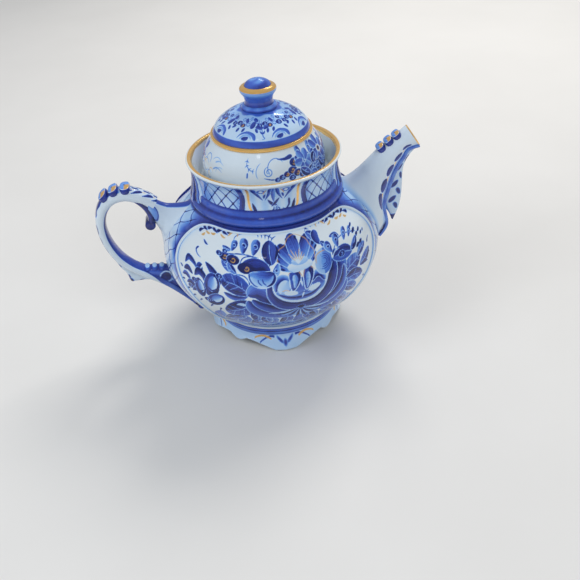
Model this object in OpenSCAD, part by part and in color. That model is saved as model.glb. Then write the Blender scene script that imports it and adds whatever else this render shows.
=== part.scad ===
// Painted porcelain teapot: a hollow pot on scalloped feet, with a spout, a scroll handle
// and a domed lid that lifts straight off.
// Millimetres. The origin is the pot's own axis on the table; +Z is up, the spout points
// along +X, the handle along -X and the front panel faces -Y.

/* [Pot] */
// Radius of the belly at its widest line
belly_r = 69.2; // [66:0.1:72]
// Height of the belly's widest line above the table
belly_z = 62; // [59:0.5:65]
// Radius of the body just above the foot
foot_r = 40.2; // [38.5:0.1:41]
// Thickness of the cast porcelain wall
wall = 3; // [2.6:0.1:3.4]

/* [Neck] */
// Outer radius of the rim
rim_r = 47; // [45.5:0.1:48]
// Height of the rim above the table
rim_z = 122; // [120.5:0.5:123.5]
// Height of the ledge that the lid sits on
seat_z = 108; // [107:0.5:109]
// Radius of the opening inside the ledge
mouth_r = 33.5; // [32.5:0.1:34]

/* [Foot] */
// Reach of the large feet from the axis
foot_reach = 44.2; // [43.2:0.1:46]
// Thickness of the unglazed rest pads under the large feet
pad_h = 0.8; // [0.6:0.1:1.2]
// Rise of the skirt's scalloped edge between two feet
scallop_rise = 6.2; // [5:0.1:6.5]

/* [Spout] */
// Width of the spout where it meets the body
spout_root_w = 30; // [26:1:32]
// Width of the spout at the mouth
spout_mouth_w = 15.5; // [14:0.5:17]
// Diameter of the strainer holes behind the spout
strainer_d = 4; // [3:0.5:4.5]

/* [Handle] */
// Width of the handle strap across its flat
strap_w = 11.8; // [10.5:0.1:12.5]
// Thickness of the handle strap at the grip
strap_t = 6; // [5.5:0.1:7]

/* [Lid] */
// Largest radius of the lid
lid_r = 37.2; // [36.6:0.1:37.6]
// Radius of the knob at its gilded ring
knob_r = 10.8; // [10.2:0.1:11.6]
// Diameter of the steam hole
vent_d = 2.5; // [2:0.5:3]

/* [Hidden] */
$fn = 96;
soft_fn = 20;

// Play of the lid's flange in the mouth.
seat_gap = 0.5;
// How deep a luted piece is let into the body's wall.
sink = 1.2;

// Heights where one moulding hands over to the next.
floor_z = 12;
seam_z = 42;
shoulder_z = 96.5;
lid_line_z = 134;
knob_z = 149.5;
knob_top_z = 160.6;
shoulder_r = 44;

PORCELAIN = [0.90, 0.92, 0.95];
COBALT = [0.12, 0.25, 0.62];
PALE_BLUE = [0.55, 0.68, 0.90];
GILT = [0.83, 0.62, 0.26];
BISQUE = [0.88, 0.85, 0.80];

// ---- curves ---------------------------------------------------------------------------

// A smooth curve through points of any length: `steps` places on each span.
function between(a, b, c, d, t) = b + 0.5 * t * (c - a
    + (2 * a - 5 * b + 4 * c - d) * t
    + (3 * b - a - 3 * c + d) * t * t);
function smooth(p, steps) = concat(
    [for (i = [0:len(p) - 2], k = [0:steps - 1])
        between(p[max(i - 1, 0)], p[i], p[i + 1], p[min(i + 2, len(p) - 1)], k / steps)],
    [p[len(p) - 1]]);

// The same, for a curve that closes on itself.
function smooth_loop(p, steps) = let (n = len(p))
    [for (i = [0:n - 1], k = [0:steps - 1])
        between(p[(i + n - 1) % n], p[i], p[(i + 1) % n], p[(i + 2) % n], k / steps)];

// A radius-height curve moved inward by d, square to itself.
function heading(p, i) =
    let (v = p[min(i + 1, len(p) - 1)] - p[max(i - 1, 0)])
    v / norm(v);
function inset(p, d) = [for (i = [0:len(p) - 1])
    let (h = heading(p, i))
    [p[i][0] - h[1] * d, p[i][1] + h[0] * d]];
function reversed(p) = [for (i = [len(p) - 1:-1:0]) p[i]];

// Radius of a radius-height curve at height z.
function span_at(p, z) =
    let (hit = [for (i = [0:len(p) - 2]) if (p[i][1] <= z && z <= p[i + 1][1]) i])
    len(hit) ? hit[0] : (z < p[0][1] ? 0 : len(p) - 2);
function radius_at(p, z) =
    let (i = span_at(p, z), q = p[i], s = p[i + 1])
    q[0] + (s[0] - q[0]) * min(1, max(0, (z - q[1]) / (s[1] - q[1])));

// ---- solids from rings of points ------------------------------------------------------

function ring_faces(m, n, closed) = [
    for (i = [0:closed ? m - 1 : m - 2], j = [0:n - 1])
        let (this = i * n, next = (i + 1) % m * n, k = (j + 1) % n)
            each [[this + j, this + k, next + k], [this + j, next + k, next + j]]];
function total(v, i = 0) = i == len(v) - 1 ? v[i] : v[i] + total(v, i + 1);
module skin(rings, closed = false) {
    m = len(rings);
    n = len(rings[0]);
    ends = closed ? [] : [total(rings[0]) / n, total(rings[m - 1]) / n];
    caps = closed ? [] : [for (j = [0:n - 1]) each [
        [(j + 1) % n, j, m * n],
        [(m - 1) * n + j, (m - 1) * n + (j + 1) % n, m * n + 1]]];
    polyhedron(
        points = concat([for (r = rings) each r], ends),
        faces = concat(ring_faces(m, n, closed), caps));
}

// One oval ring in the plane of spout and handle: s is [x and z of one edge, x and z of the
// opposite edge, width across]; `in` takes that much off all round.
function oval(s, sides, in = 0) =
    let (a = [s[0], s[1]], b = [s[2], s[3]], c = (a + b) / 2, h = (a - b) / 2, k = 1 - in / norm(h))
    [for (j = [0:sides - 1])
        let (t = 360 * j / sides)
        [c[0] + h[0] * k * cos(t), (s[4] / 2 - in) * sin(t), c[1] + h[1] * k * cos(t)]];
function oval_rings(sections, steps, sides, in = 0) =
    [for (s = smooth(sections, steps)) oval(s, sides, in)];
module oval_skin(sections, steps, sides) skin(oval_rings(sections, steps, sides));

// An oval ring let into the body's wall, centred at height z on the spout's side (1) or the
// handle's (-1); `first` is 1 where its first point is the top one and -1 where it is the bottom.
function wall_ring(side, first, z, half_h, half_w, sides) =
    [for (j = [0:sides - 1])
        let (t = 360 * j / sides, y = half_w * sin(t), h = z + first * half_h * cos(t))
            [side * (sqrt(pow(radius_at(body_line, h), 2) - y * y) - sink), y, h]];

// A strap follows a centre line of [x, z, thickness, width].
function strap_sections(p) =
    let (line = [for (q = p) [q[0], q[1]]])
    [for (i = [0:len(p) - 1])
        let (q = p[i], h = heading(line, i), t = q[2] / 2)
        [q[0] - h[1] * t, q[1] + h[0] * t, q[0] + h[1] * t, q[1] - h[0] * t, q[3]]];

// An oval bead at [x, z], tilted in the plane of spout and handle.
module bead(at, long, thick, wide, tilt)
    translate([at[0], 0, at[1]]) rotate([0, -tilt, 0])
        resize([long, wide, thick]) sphere(r = 5, $fn = soft_fn);

// ---- the pot --------------------------------------------------------------------------

body_line = smooth(concat(
    [for (q = [[0, floor_z + 2], [0.06, 19], [0.25, 24.5], [0.53, 32], [0.77, 41], [0.95, 52]])
        [foot_r + q[0] * (belly_r - foot_r), q[1] * belly_z / 62]],
    [[belly_r, belly_z]],
    [for (q = [[0.92, 72], [0.7, 82], [0.36, 90], [0.08, 95]])
        [shoulder_r + q[0] * (belly_r - shoulder_r), q[1]]],
    [[shoulder_r, shoulder_z]]), 4);

inner_line = [for (p = inset(body_line, wall))
    if (p[1] > floor_z + wall + 1 && p[1] < shoulder_z - 0.5) p];
body_seam = [radius_at(body_line, seam_z), seam_z];
inner_seam = [radius_at(inner_line, seam_z), seam_z];

// What the body would be if it were solid clay.
module body_solid()
    rotate_extrude() polygon(concat([[0, floor_z], [foot_r - 1, floor_z]], body_line, [[0, shoulder_z]]));

// The body is a bowl and a shoulder, luted to each other below the belly.
module body_bowl() color(PORCELAIN) rotate_extrude() polygon(concat(
    [[0, floor_z], [foot_r - 1, floor_z]],
    [for (p = body_line) if (p[1] < seam_z) p],
    [body_seam, inner_seam],
    reversed([for (p = inner_line) if (p[1] < seam_z) p]),
    [[foot_r - wall - 4, floor_z + wall], [0, floor_z + wall]]));
module shoulder_wall() rotate_extrude() polygon(concat(
    [body_seam],
    [for (p = body_line) if (p[1] > seam_z) p],
    [[inner_line[len(inner_line) - 1][0], shoulder_z]],
    reversed([for (p = inner_line) if (p[1] > seam_z) p]),
    [inner_seam]));

// Strainer holes: a column of four on the centre line and three at each side.
strainer_places = concat(
    [for (i = [0:3]) [0, 66 + 8 * i]],
    [for (s = [-1, 1], i = [0:2]) [6.5 * s, 70 + 8 * i]]);
module strainer_holes()
    for (p = strainer_places)
        translate([45, p[0], p[1]]) rotate([0, 90, 0]) cylinder(d = strainer_d, h = 30, $fn = 24);
module body_shoulder() color(PORCELAIN) difference() {
    shoulder_wall();
    strainer_holes();
}

// The neck rises from the shoulder, flares to the rim and carries the lid's ledge inside.
neck_line = smooth([
    [43.4, shoulder_z], [42.8, 102.5], [42.2, 108], [42.8, 113], [44.6, rim_z - 4.2], [rim_r, rim_z - 1]], 4);
neck_inside = smooth([[rim_r - 3.2, rim_z - 0.6], [41.2, 114.5], [39.6, seat_z]], 4);
module neck_collar() color(PORCELAIN) rotate_extrude() polygon(concat(
    neck_line,
    [[rim_r - 0.5, rim_z - 0.2], [rim_r - 1.4, rim_z], [rim_r - 2.6, rim_z]],
    neck_inside,
    [[mouth_r, seat_z], [mouth_r, seat_z - 2.5], [38, 101], [39.6, shoulder_z]]));

// A cobalt double roll covers the joint of shoulder and neck.
roll_r = 2.9;
module neck_moulding() color(COBALT) difference() {
    rotate_extrude() polygon(concat(
        [[41.5, 104.4], [42.9, 104.4]],
        smooth([[43.6, 103.2], [44.0, 101.4], [45.2, 99.9]], 3),
        [for (a = [75:-15:-75]) [44.4 + roll_r * cos(a), 97.2 + roll_r * sin(a)]],
        [[41.5, 94.4]]));
    body_solid();
    rotate_extrude() polygon(concat([[0, shoulder_z]], neck_line, [[0, rim_z - 1]]));
}

// Raised edge of a painted panel: places of [degrees from the panel's middle, height].
panel_half = [[28, 93.2], [50, 93.4], [60, 90.5], [64.5, 83], [64, 74], [59, 64], [52, 52],
    [47, 40], [43.5, 28], [38, 20.2], [20, 18.8]];
panel_line = smooth_loop(concat(
    [[0, 93.2]], panel_half, [[0, 18.6]], [for (q = reversed(panel_half)) [-q[0], q[1]]]), 4);
panel_ridge_r = 1.1;
function on_body(q, facing) =
    let (r = radius_at(body_line, q[1]), a = facing + q[0])
    [r * cos(a), r * sin(a), q[1]];
module panel_frame(facing) {
    n = len(panel_line);
    path = [for (q = panel_line) on_body(q, facing)];
    skin([for (i = [0:n - 1])
        let (p = path[i], v = path[(i + 1) % n] - path[(i + n - 1) % n], t = v / norm(v),
             out = [p[0], p[1], 0.3 * (p[2] - belly_z)], level = out - (out * t) * t,
             u = level / norm(level), w = cross(t, u))
        [for (a = [0:-45:-315]) p + panel_ridge_r * (cos(a) * u + sin(a) * w)]], closed = true);
}
module panel_frame_front() color(PORCELAIN) panel_frame(-90);
module panel_frame_back() color(PORCELAIN) panel_frame(90);

// A fluted leaf drapes over the neck at the handle and at the spout, wider as it falls:
// [height, radius of the neck under it, how far it stands out, half its width].
leaf_sections = smooth([
    [96.9, 44.5, 3.2, 22], [99.5, 43.4, 4.2, 18.5], [103, 42.6, 4, 15.5],
    [108, 42, 3.6, 13.5], [113, 42.6, 2.8, 11.5], [117.5, 44.2, 1.8, 9.5]], 3);
flutes = 5;
leaf_steps = 20;
function leaf_place(s, facing, f, r) =
    let (a = facing + f * s[3] / s[1] * 180 / PI)
    [r * cos(a), r * sin(a), s[0]];
function leaf_front(s, f) =
    s[1] - 0.4 + s[2] * sqrt(1 - 0.96 * f * f) * (0.86 + 0.14 * abs(cos(90 * flutes * f)));
module neck_leaf(facing)
    skin([for (s = leaf_sections) concat(
        [for (k = [leaf_steps:-1:-leaf_steps])
            let (f = k / leaf_steps)
            leaf_place(s, facing, f, leaf_front(s, f))],
        [for (k = [-leaf_steps:4:leaf_steps]) leaf_place(s, facing, k / leaf_steps, s[1] - 0.8)])]);
module neck_leaf_handle() color(COBALT) neck_leaf(180);
module neck_leaf_spout() color(COBALT) neck_leaf(0);

// ---- the foot -------------------------------------------------------------------------

module foot_moulding() color(COBALT) difference() {
    rotate_extrude() translate([foot_r, 0]) polygon([
        [-3, 12.2], [-0.4, 12.2], [0.8, 12.8], [1.2, 13.8], [0.9, 14.9], [1.6, 15.6], [2.1, 16.6],
        [2, 17.6], [1.3, 18.5], [-3, 18.5]]);
    body_solid();
}

// Large feet stand at the four quarters and a small cusp hangs between each pair.
cusp_drop = 3;
function from_foot(a) = abs(((a + 45) % 90) - 45);
function skirt_edge(a) =
    let (f = from_foot(a))
    f < 9 ? pad_h
    : f < 36 ? pad_h + scallop_rise * sin((f - 9) / 27 * 90)
    : pad_h + scallop_rise - cusp_drop * sin((f - 36) / 9 * 90);
function skirt_reach(a) = foot_reach - 2.2 * sin(min(from_foot(a), 45) * 2);
skirt_steps = 120;
function skirt_outline(r, e) = [
    [foot_r - 4, floor_z], [foot_r - 3.3, 9], [r - 3.6, e], [r - 0.6, e], [r, e + 0.7],
    [foot_r + 1.4, 9], [foot_r + 0.1, 11], [foot_r - 0.4, floor_z]];
module foot_skirt() color(PALE_BLUE)
    skin([for (i = [0:skirt_steps - 1])
        let (a = 360 * i / skirt_steps)
        [for (q = skirt_outline(skirt_reach(a), skirt_edge(a)))
            [q[0] * cos(a), q[0] * sin(a), q[1]]]], closed = true);
module foot_pad(i) color(BISQUE)
    rotate([0, 0, 90 * i]) translate([foot_reach - 3.1, 0, 0]) cylinder(r = 2.2, h = pad_h, $fn = 32);

// ---- the spout ------------------------------------------------------------------------

// Sections from the body to the mouth: [upper x, z, lower x, z, width].
spout_sections = [
    [54.5, 98.8, 71.2, 52.5, spout_root_w],
    [58.5, 102, 76, 60.5, 0.87 * spout_root_w],
    [62.8, 105.8, 74, 74, 0.74 * spout_root_w],
    [66.5, 109.2, 77, 87.3, 0.65 * spout_root_w],
    [70, 112.5, 81.2, 99, 0.58 * spout_root_w],
    [76.3, 117.3, 86.3, 107.5, spout_mouth_w - 0.5],
    [82.2, 121.6, 89.6, 112.3, spout_mouth_w - 2],
    [88.5, 126.4, 96.3, 113.9, spout_mouth_w]];
spout_root = [73.5, 20.5];
spout_wall = 2.2;
spout_sides = 24;
function spout_side(in) = concat(
    [wall_ring(1, 1, spout_root[0], spout_root[1] - in, spout_root_w / 2 - in, spout_sides)],
    oval_rings(spout_sections, 3, spout_sides, in));
module spout_tube() color(PORCELAIN)
    skin(concat(spout_side(0), reversed(spout_side(spout_wall))), closed = true);

// The keel is the leaf that hangs under the spout and ends in a free drop:
// [outer x, z, inner x, z, width].
keel_sections = [
    [96, 113.6, 92.5, 113.6, 5], [91.5, 108.8, 87, 109, 5.5], [88, 103.2, 82.6, 103, 6],
    [86.6, 96.4, 78.8, 96, 6], [86.4, 88.2, 76, 88, 6], [86, 79.6, 74.2, 80, 5.5],
    [84.6, 71.8, 74.8, 73.6, 4.5], [82.8, 66.6, 78.2, 67.4, 3], [81, 62.2, 80.1, 62.4, 1.2]];
module spout_keel() color(PORCELAIN) oval_skin(keel_sections, 3, 12);

// A raised scroll runs down each side of the spout, from the mouth to the root, along the
// places that lie scroll_turn degrees round each section from its upper edge.
scroll_turn = 150;
function on_spout(s, side) =
    let (a = [s[0], s[1]], b = [s[2], s[3]], m = (a + b) / 2 + (a - b) / 2 * cos(scroll_turn))
    [m[0], side * s[4] / 2 * sin(scroll_turn), m[1]];
module spout_scroll(side) {
    path = [for (s = smooth(spout_sections, 3)) on_spout(s, side)];
    n = len(path);
    skin([for (i = [0:n - 1])
        let (t = heading(path, i), up = cross(t, [0, 1, 0]), u = up / norm(up), w = cross(t, u),
             r = 1.1 + 0.8 * sin(150 * i / (n - 1)))
        [for (a = [0:45:315]) path[i] + r * (cos(a) * w + sin(a) * u)]]);
}
module spout_scroll_front() color(PALE_BLUE) spout_scroll(-1);
module spout_scroll_back() color(PALE_BLUE) spout_scroll(1);
module spout_bead(i) color(COBALT)
    bead([72.5 + 4.9 * i, 114.3 + 3.7 * i - 0.15 * i * i], 5.7, 8.4, 9.6 - 0.4 * i, 37);

// ---- the handle -----------------------------------------------------------------------

// The stem carries the top of the strap: [lower x, z, upper x, z, width].
stem_sections = [
    [-66.8, 71.5, -57.5, 92.6, 12.5], [-69.6, 78, -63.5, 94.6, 11.5],
    [-72, 85.5, -68.5, 97.4, strap_w + 0.3], [-74.2, 92, -72.6, 100.6, strap_w]];
module handle_stem() color(PORCELAIN)
    skin(concat([wall_ring(-1, -1, 81, 11.5, 6.8, 20)], oval_rings(stem_sections, 3, 20)));

// Centre line of the strap: [x, z, thickness, width].
strap_line = [[-70, 95.6, 8.5, strap_w - 0.3], [-77, 101, 8.5, strap_w], [-86, 104.5, 8.5, strap_w],
    [-94.5, 103, 8, strap_w], [-100.6, 97.5, 7.5, strap_w], [-103.7, 89, strap_t + 0.5, strap_w],
    [-104, 80, strap_t, strap_w], [-101.8, 70, strap_t, strap_w], [-97.3, 60.5, strap_t, strap_w],
    [-91, 53, strap_t, strap_w], [-83.5, 47.5, strap_t, strap_w], [-76, 42.5, strap_t, strap_w - 0.5],
    [-69, 36.5, strap_t - 0.5, strap_w - 1.5], [-62.5, 29.5, strap_t - 1, strap_w - 2.5],
    [-57, 22.5, 4.5, 7], [-52, 16, 4.2, 6]];
module handle_strap() color(PORCELAIN) oval_skin(strap_sections(smooth(strap_line, 3)), 1, 16);

// The root fills the corner between the falling strap and the body: [upper x, z, lower x, z, width].
root_sections = [
    [-85, 50.2, -85.4, 47.2, 5], [-79, 51, -80, 43.5, 8.8], [-73, 50.6, -74.5, 39.6, 9.2],
    [-67, 49.8, -68.5, 33.6, 9], [-60.5, 48, -61, 26, 8]];
module handle_root() color(COBALT)
    skin(concat(oval_rings(root_sections, 3, 16), [wall_ring(-1, 1, 36, 10.5, 3.6, 16)]));

// The scroll curls down inside the loop where the strap meets the stem, and ends in a bulb.
scroll_line = [
    [-83, 102.2, 3, strap_w - 2], [-77.5, 98.6, 5.4, strap_w - 0.5], [-73.8, 93.6, 6.2, strap_w - 0.5],
    [-72.5, 88.2, 5.8, strap_w - 0.8], [-73.4, 83.6, 5, strap_w - 1]];
module handle_scroll() color(COBALT) union() {
    oval_skin(strap_sections(smooth(scroll_line, 3)), 1, 14);
    translate([-74.2, 0, 82.6]) rotate([90, 0, 0])
        cylinder(r = 3.2, h = strap_w - 1, center = true, $fn = 32);
}

// A leaf-shaped spur stands on the outside of the lower bend.
spur_sections = [
    [-100.4, 62.5, -101.6, 61, 2.5], [-95.6, 58, -98.4, 53.2, 4.5], [-92, 54.5, -95.2, 47.8, 5],
    [-88.4, 51, -93.6, 41.4, 4.6], [-85.6, 49, -90.6, 41, 4.8], [-82, 46.6, -84.4, 41.2, 5],
    [-76, 43, -77.2, 39.6, 3]];
module handle_spur() color(PORCELAIN) oval_skin(spur_sections, 3, 12);

// Three beads crest the top bend: [x, z, tilt].
handle_crest = [[-98.8, 105, 38], [-92.4, 107.7, 20], [-85.4, 108.1, 2]];
module handle_bead(i) color(COBALT)
    bead(handle_crest[i], 6.3, 7.2, strap_w + 0.3, handle_crest[i][2]);

// Small drops sit on the root inside the loop.
module handle_drops() color(PALE_BLUE)
    for (i = [0:2]) bead([-81.6 + 4.6 * i, 49.9 - 0.3 * i], 4.4, 3.6, 8.8 - 0.3 * i, -6);

module handle_tail_bead() color(COBALT)
    translate([-50.6, 0, 14.6]) sphere(r = 3.1, $fn = 32);

// ---- the lid --------------------------------------------------------------------------

bell_line = smooth([
    [lid_r - 0.8, seat_z], [lid_r - 0.1, 112.5], [lid_r, 117.3], [lid_r - 0.8, 122.8], [lid_r - 3, 128.2],
    [30.3, lid_line_z - 0.4]], 3);
bell_inside = [for (p = inset(bell_line, wall)) if (p[1] > seat_z + 1 && p[1] < lid_line_z - 1) p];
module lid_bell() color(PORCELAIN) rotate_extrude() polygon(concat(
    bell_line,
    [[29.8, lid_line_z], [26.8, lid_line_z]],
    reversed(bell_inside),
    [[lid_r - 0.8 - wall, seat_z]]));

// The flange hangs from the bell and keeps the lid in the mouth.
flange_r = mouth_r - seat_gap;
module lid_flange() color(PORCELAIN) rotate_extrude() polygon([
    [flange_r, seat_z - 5], [flange_r, seat_z], [lid_r - 0.8 - wall, seat_z],
    [lid_r - 0.8 - wall, seat_z + 2.5], [flange_r - 2.4, seat_z + 2.5], [flange_r - 2.4, seat_z - 4.6],
    [flange_r - 2, seat_z - 5]]);

// A gilded girdle covers the joint of bell and dome.
girdle_z = lid_line_z + 2.4;
module lid_girdle() color(GILT) rotate_extrude() polygon(concat(
    [[26.8, lid_line_z], [29.8, lid_line_z]],
    [for (a = [-60:20:60]) [29.2 + 1.2 * cos(a), lid_line_z + 1.2 + 1.2 * sin(a)]],
    [[26.8, girdle_z]]));

vent_facing = 70;
dome_line = smooth([
    [29, girdle_z], [28.2, 138.6], [25.9, 141.8], [22.2, 144.8], [16.6, 147.8], [10, knob_z]], 3);
dome_inside = [for (p = inset(dome_line, wall)) if (p[1] > girdle_z + 1 && p[1] < knob_z - wall) p];
module lid_dome() color(PALE_BLUE) difference() {
    rotate_extrude() polygon(concat(
        dome_line, [[0, knob_z], [0, knob_z - wall]],
        reversed(dome_inside),
        [[29 - wall, girdle_z]]));
    rotate([0, 0, vent_facing]) translate([17.5, 0, girdle_z]) cylinder(d = vent_d, h = 20, $fn = 24);
}

// The knob: a collar on the dome, a waist that flares, a gilded bevel and a domed cap.
module knob_foot() color(COBALT) rotate_extrude() polygon(concat(
    [[0, knob_z], [10, knob_z]],
    smooth([[10.6, 150.2], [10.1, 151.3], [8.9, 152]], 3),
    [[0, 152]]));
module knob_stem() color(COBALT) rotate_extrude() polygon(concat(
    [[0, 152], [8.7, 152]],
    smooth([[8.4, 152.8], [8.3, 154.6], [9, 157], [knob_r - 0.3, 159.2], [knob_r, knob_top_z]], 3),
    [[0, knob_top_z]]));
module knob_ring() color(GILT) rotate_extrude() polygon([
    [7.8, knob_top_z], [knob_r, knob_top_z], [knob_r - 0.15, knob_top_z + 0.8],
    [knob_r - 0.8, knob_top_z + 1.5], [knob_r - 1.8, knob_top_z + 2], [8, knob_top_z + 2.3],
    [7.8, knob_top_z + 2.1]]);
module knob_cap() color(COBALT) rotate_extrude() polygon(concat(
    [[0, knob_top_z], [7.8, knob_top_z]],
    smooth([[7.8, knob_top_z + 2.1], [6.9, 164.2], [4.8, 165.5], [2.3, 166.3], [0, 166.5]], 3)));

body_bowl();
body_shoulder();
neck_collar();
neck_moulding();
panel_frame_front();
panel_frame_back();
neck_leaf_handle();
neck_leaf_spout();
foot_moulding();
foot_skirt();
for (i = [0:3]) foot_pad(i);
spout_tube();
spout_keel();
spout_scroll_front();
spout_scroll_back();
for (i = [0:2]) spout_bead(i);
handle_stem();
handle_strap();
handle_root();
handle_scroll();
handle_spur();
for (i = [0:2]) handle_bead(i);
handle_drops();
handle_tail_bead();
lid_bell();
lid_dome();
lid_girdle();
lid_flange();
knob_foot();
knob_stem();
knob_ring();
knob_cap();
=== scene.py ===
import math

import bmesh
import bpy
import numpy as np
from mathutils import Matrix, Vector


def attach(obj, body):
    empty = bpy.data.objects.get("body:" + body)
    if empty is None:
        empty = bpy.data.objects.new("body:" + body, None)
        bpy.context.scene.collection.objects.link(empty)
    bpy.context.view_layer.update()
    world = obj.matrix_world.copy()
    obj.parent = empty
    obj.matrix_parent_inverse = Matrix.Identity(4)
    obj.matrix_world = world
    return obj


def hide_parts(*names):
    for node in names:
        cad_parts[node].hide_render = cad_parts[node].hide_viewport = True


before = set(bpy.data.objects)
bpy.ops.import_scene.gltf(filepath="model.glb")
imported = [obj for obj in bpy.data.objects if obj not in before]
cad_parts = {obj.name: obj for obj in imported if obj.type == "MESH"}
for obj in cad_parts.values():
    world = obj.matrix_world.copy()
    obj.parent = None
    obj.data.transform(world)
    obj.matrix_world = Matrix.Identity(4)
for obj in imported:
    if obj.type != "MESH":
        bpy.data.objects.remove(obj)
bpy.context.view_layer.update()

MM = 0.001      # metres to a millimetre; shapes are given in millimetres
FINE = 0.38     # row spacing of the painted belly
WALL = 3        # thickness of the cast walls
CHART_ROUND = 0.2   # chart units per degree round a swept section
NECK_PITCH, BELL_PITCH, DOME_PITCH = 0.75, 0.62, 0.45    # chart millimetres per degree of azimuth
VENT_X, VENT_Y, VENT_R = 17.5 * math.cos(math.radians(70)), 17.5 * math.sin(math.radians(70)), 1.25
HOLE_R = 2.0    # strainer holes

# ---- camera, light and floor ----------------------------------------------------------


def turned(v, deg):
    a = math.radians(deg)
    return Vector((v[0] * math.cos(a) - v[1] * math.sin(a), v[0] * math.sin(a) + v[1] * math.cos(a), v[2]))


def look(elevation, roll, yaw, place):
    """The camera's matrix, looking down by `elevation`; place and gaze are turned by `yaw` about +Z."""
    e, r = math.radians(elevation), math.radians(roll)
    fwd = Vector((0, math.cos(e), -math.sin(e)))
    right = Vector((1, 0, 0))
    up = right.cross(fwd)
    right, up = math.cos(r) * right + math.sin(r) * up, -math.sin(r) * right + math.cos(r) * up
    right, up, back = turned(right, yaw), turned(up, yaw), turned(-fwd, yaw)
    m = Matrix((right, up, back)).transposed().to_4x4()
    m.translation = turned(place, yaw)
    return m


cam_data = bpy.data.cameras.new("camera")
cam_data.lens = 47.5
cam_data.sensor_width = 36
cam_data.clip_start, cam_data.clip_end = 0.01, 10
camera = bpy.data.objects.new("camera", cam_data)
camera.matrix_world = look(35.6, -4.3, -6, (0.00976, -0.42422, 0.32077))
bpy.context.scene.collection.objects.link(camera)
bpy.context.scene.camera = camera


def softbox(name, place, target, size, watts, colour, shine=False):
    data = bpy.data.lights.new(name, "AREA")
    data.shape = "RECTANGLE"
    data.size, data.size_y = size
    data.energy = watts
    data.color = colour
    lamp = bpy.data.objects.new(name, data)
    lamp.location = place
    lamp.rotation_mode = "QUATERNION"
    lamp.rotation_quaternion = (Vector(target) - Vector(place)).to_track_quat("-Z", "Y")
    lamp.visible_glossy = shine
    bpy.context.scene.collection.objects.link(lamp)


softbox("light_back", (0.45, 0.75, 0.95), (0, 0, 0.07), (0.6, 0.35), 10, (1.0, 0.97, 0.92))
softbox("light_left", (-0.9, -0.25, 0.75), (0, 0, 0.06), (0.5, 0.7), 5, (0.90, 0.95, 1.0))
softbox("light_front", (0.35, -0.9, 0.85), (0, 0, 0.05), (0.7, 0.4), 4.6, (0.95, 0.98, 1.0))
softbox("glint_back", (0.35, 0.85, 1.0), (0, 0, 0.07), (0.34, 0.08), 0.7, (1.0, 0.98, 0.95), True)
softbox("glint_front", (-0.25, -0.75, 1.05), (0, 0, 0.07), (0.12, 0.05), 0.10, (1.0, 1.0, 1.0), True)

world = bpy.data.worlds.new("room")
world.use_nodes = True
world.node_tree.nodes["Background"].inputs["Color"].default_value = (0.86, 0.91, 1.0, 1)
world.node_tree.nodes["Background"].inputs["Strength"].default_value = 0.40
bpy.context.scene.world = world
bpy.context.scene.view_settings.view_transform = "Standard"

# ---- materials ------------------------------------------------------------------------


def new_material(name):
    mat = bpy.data.materials.new(name)
    mat.use_nodes = True
    return mat, mat.node_tree, mat.node_tree.nodes["Principled BSDF"]


def link(tree, a, b):
    tree.links.new(a, b)


def noise(tree, scale, detail=3.0, rough=0.5):
    where = tree.nodes.new("ShaderNodeTexCoord")
    tex = tree.nodes.new("ShaderNodeTexNoise")
    tex.inputs["Scale"].default_value = scale
    tex.inputs["Detail"].default_value = detail
    tex.inputs["Roughness"].default_value = rough
    link(tree, where.outputs["Object"], tex.inputs["Vector"])
    return tex.outputs["Fac"]


def spread(tree, value, low, high):
    node = tree.nodes.new("ShaderNodeMapRange")
    node.inputs["To Min"].default_value = low
    node.inputs["To Max"].default_value = high
    link(tree, value, node.inputs["Value"])
    return node.outputs["Result"]


def maths(tree, op, a, b):
    node = tree.nodes.new("ShaderNodeMath")
    node.operation = op
    for i, v in enumerate((a, b)):
        if isinstance(v, float):
            node.inputs[i].default_value = v
        else:
            link(tree, v, node.inputs[i])
    return node.outputs["Value"]


def mix(tree, fac, a, b):
    node = tree.nodes.new("ShaderNodeMix")
    node.data_type = "RGBA"
    link(tree, fac, node.inputs[0])
    for socket, v in ((node.inputs[6], a), (node.inputs[7], b)):
        if isinstance(v, tuple):
            socket.default_value = (*v, 1)
        else:
            link(tree, v, socket)
    return node.outputs[2]


COBALT_STOPS = [(0.0, (0.68, 0.75, 0.79)), (0.14, (0.34, 0.56, 0.84)), (0.34, (0.07, 0.26, 0.72)),
                (0.58, (0.008, 0.075, 0.50)), (0.8, (0.002, 0.022, 0.27)), (1.0, (0.002, 0.006, 0.07))]


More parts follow.
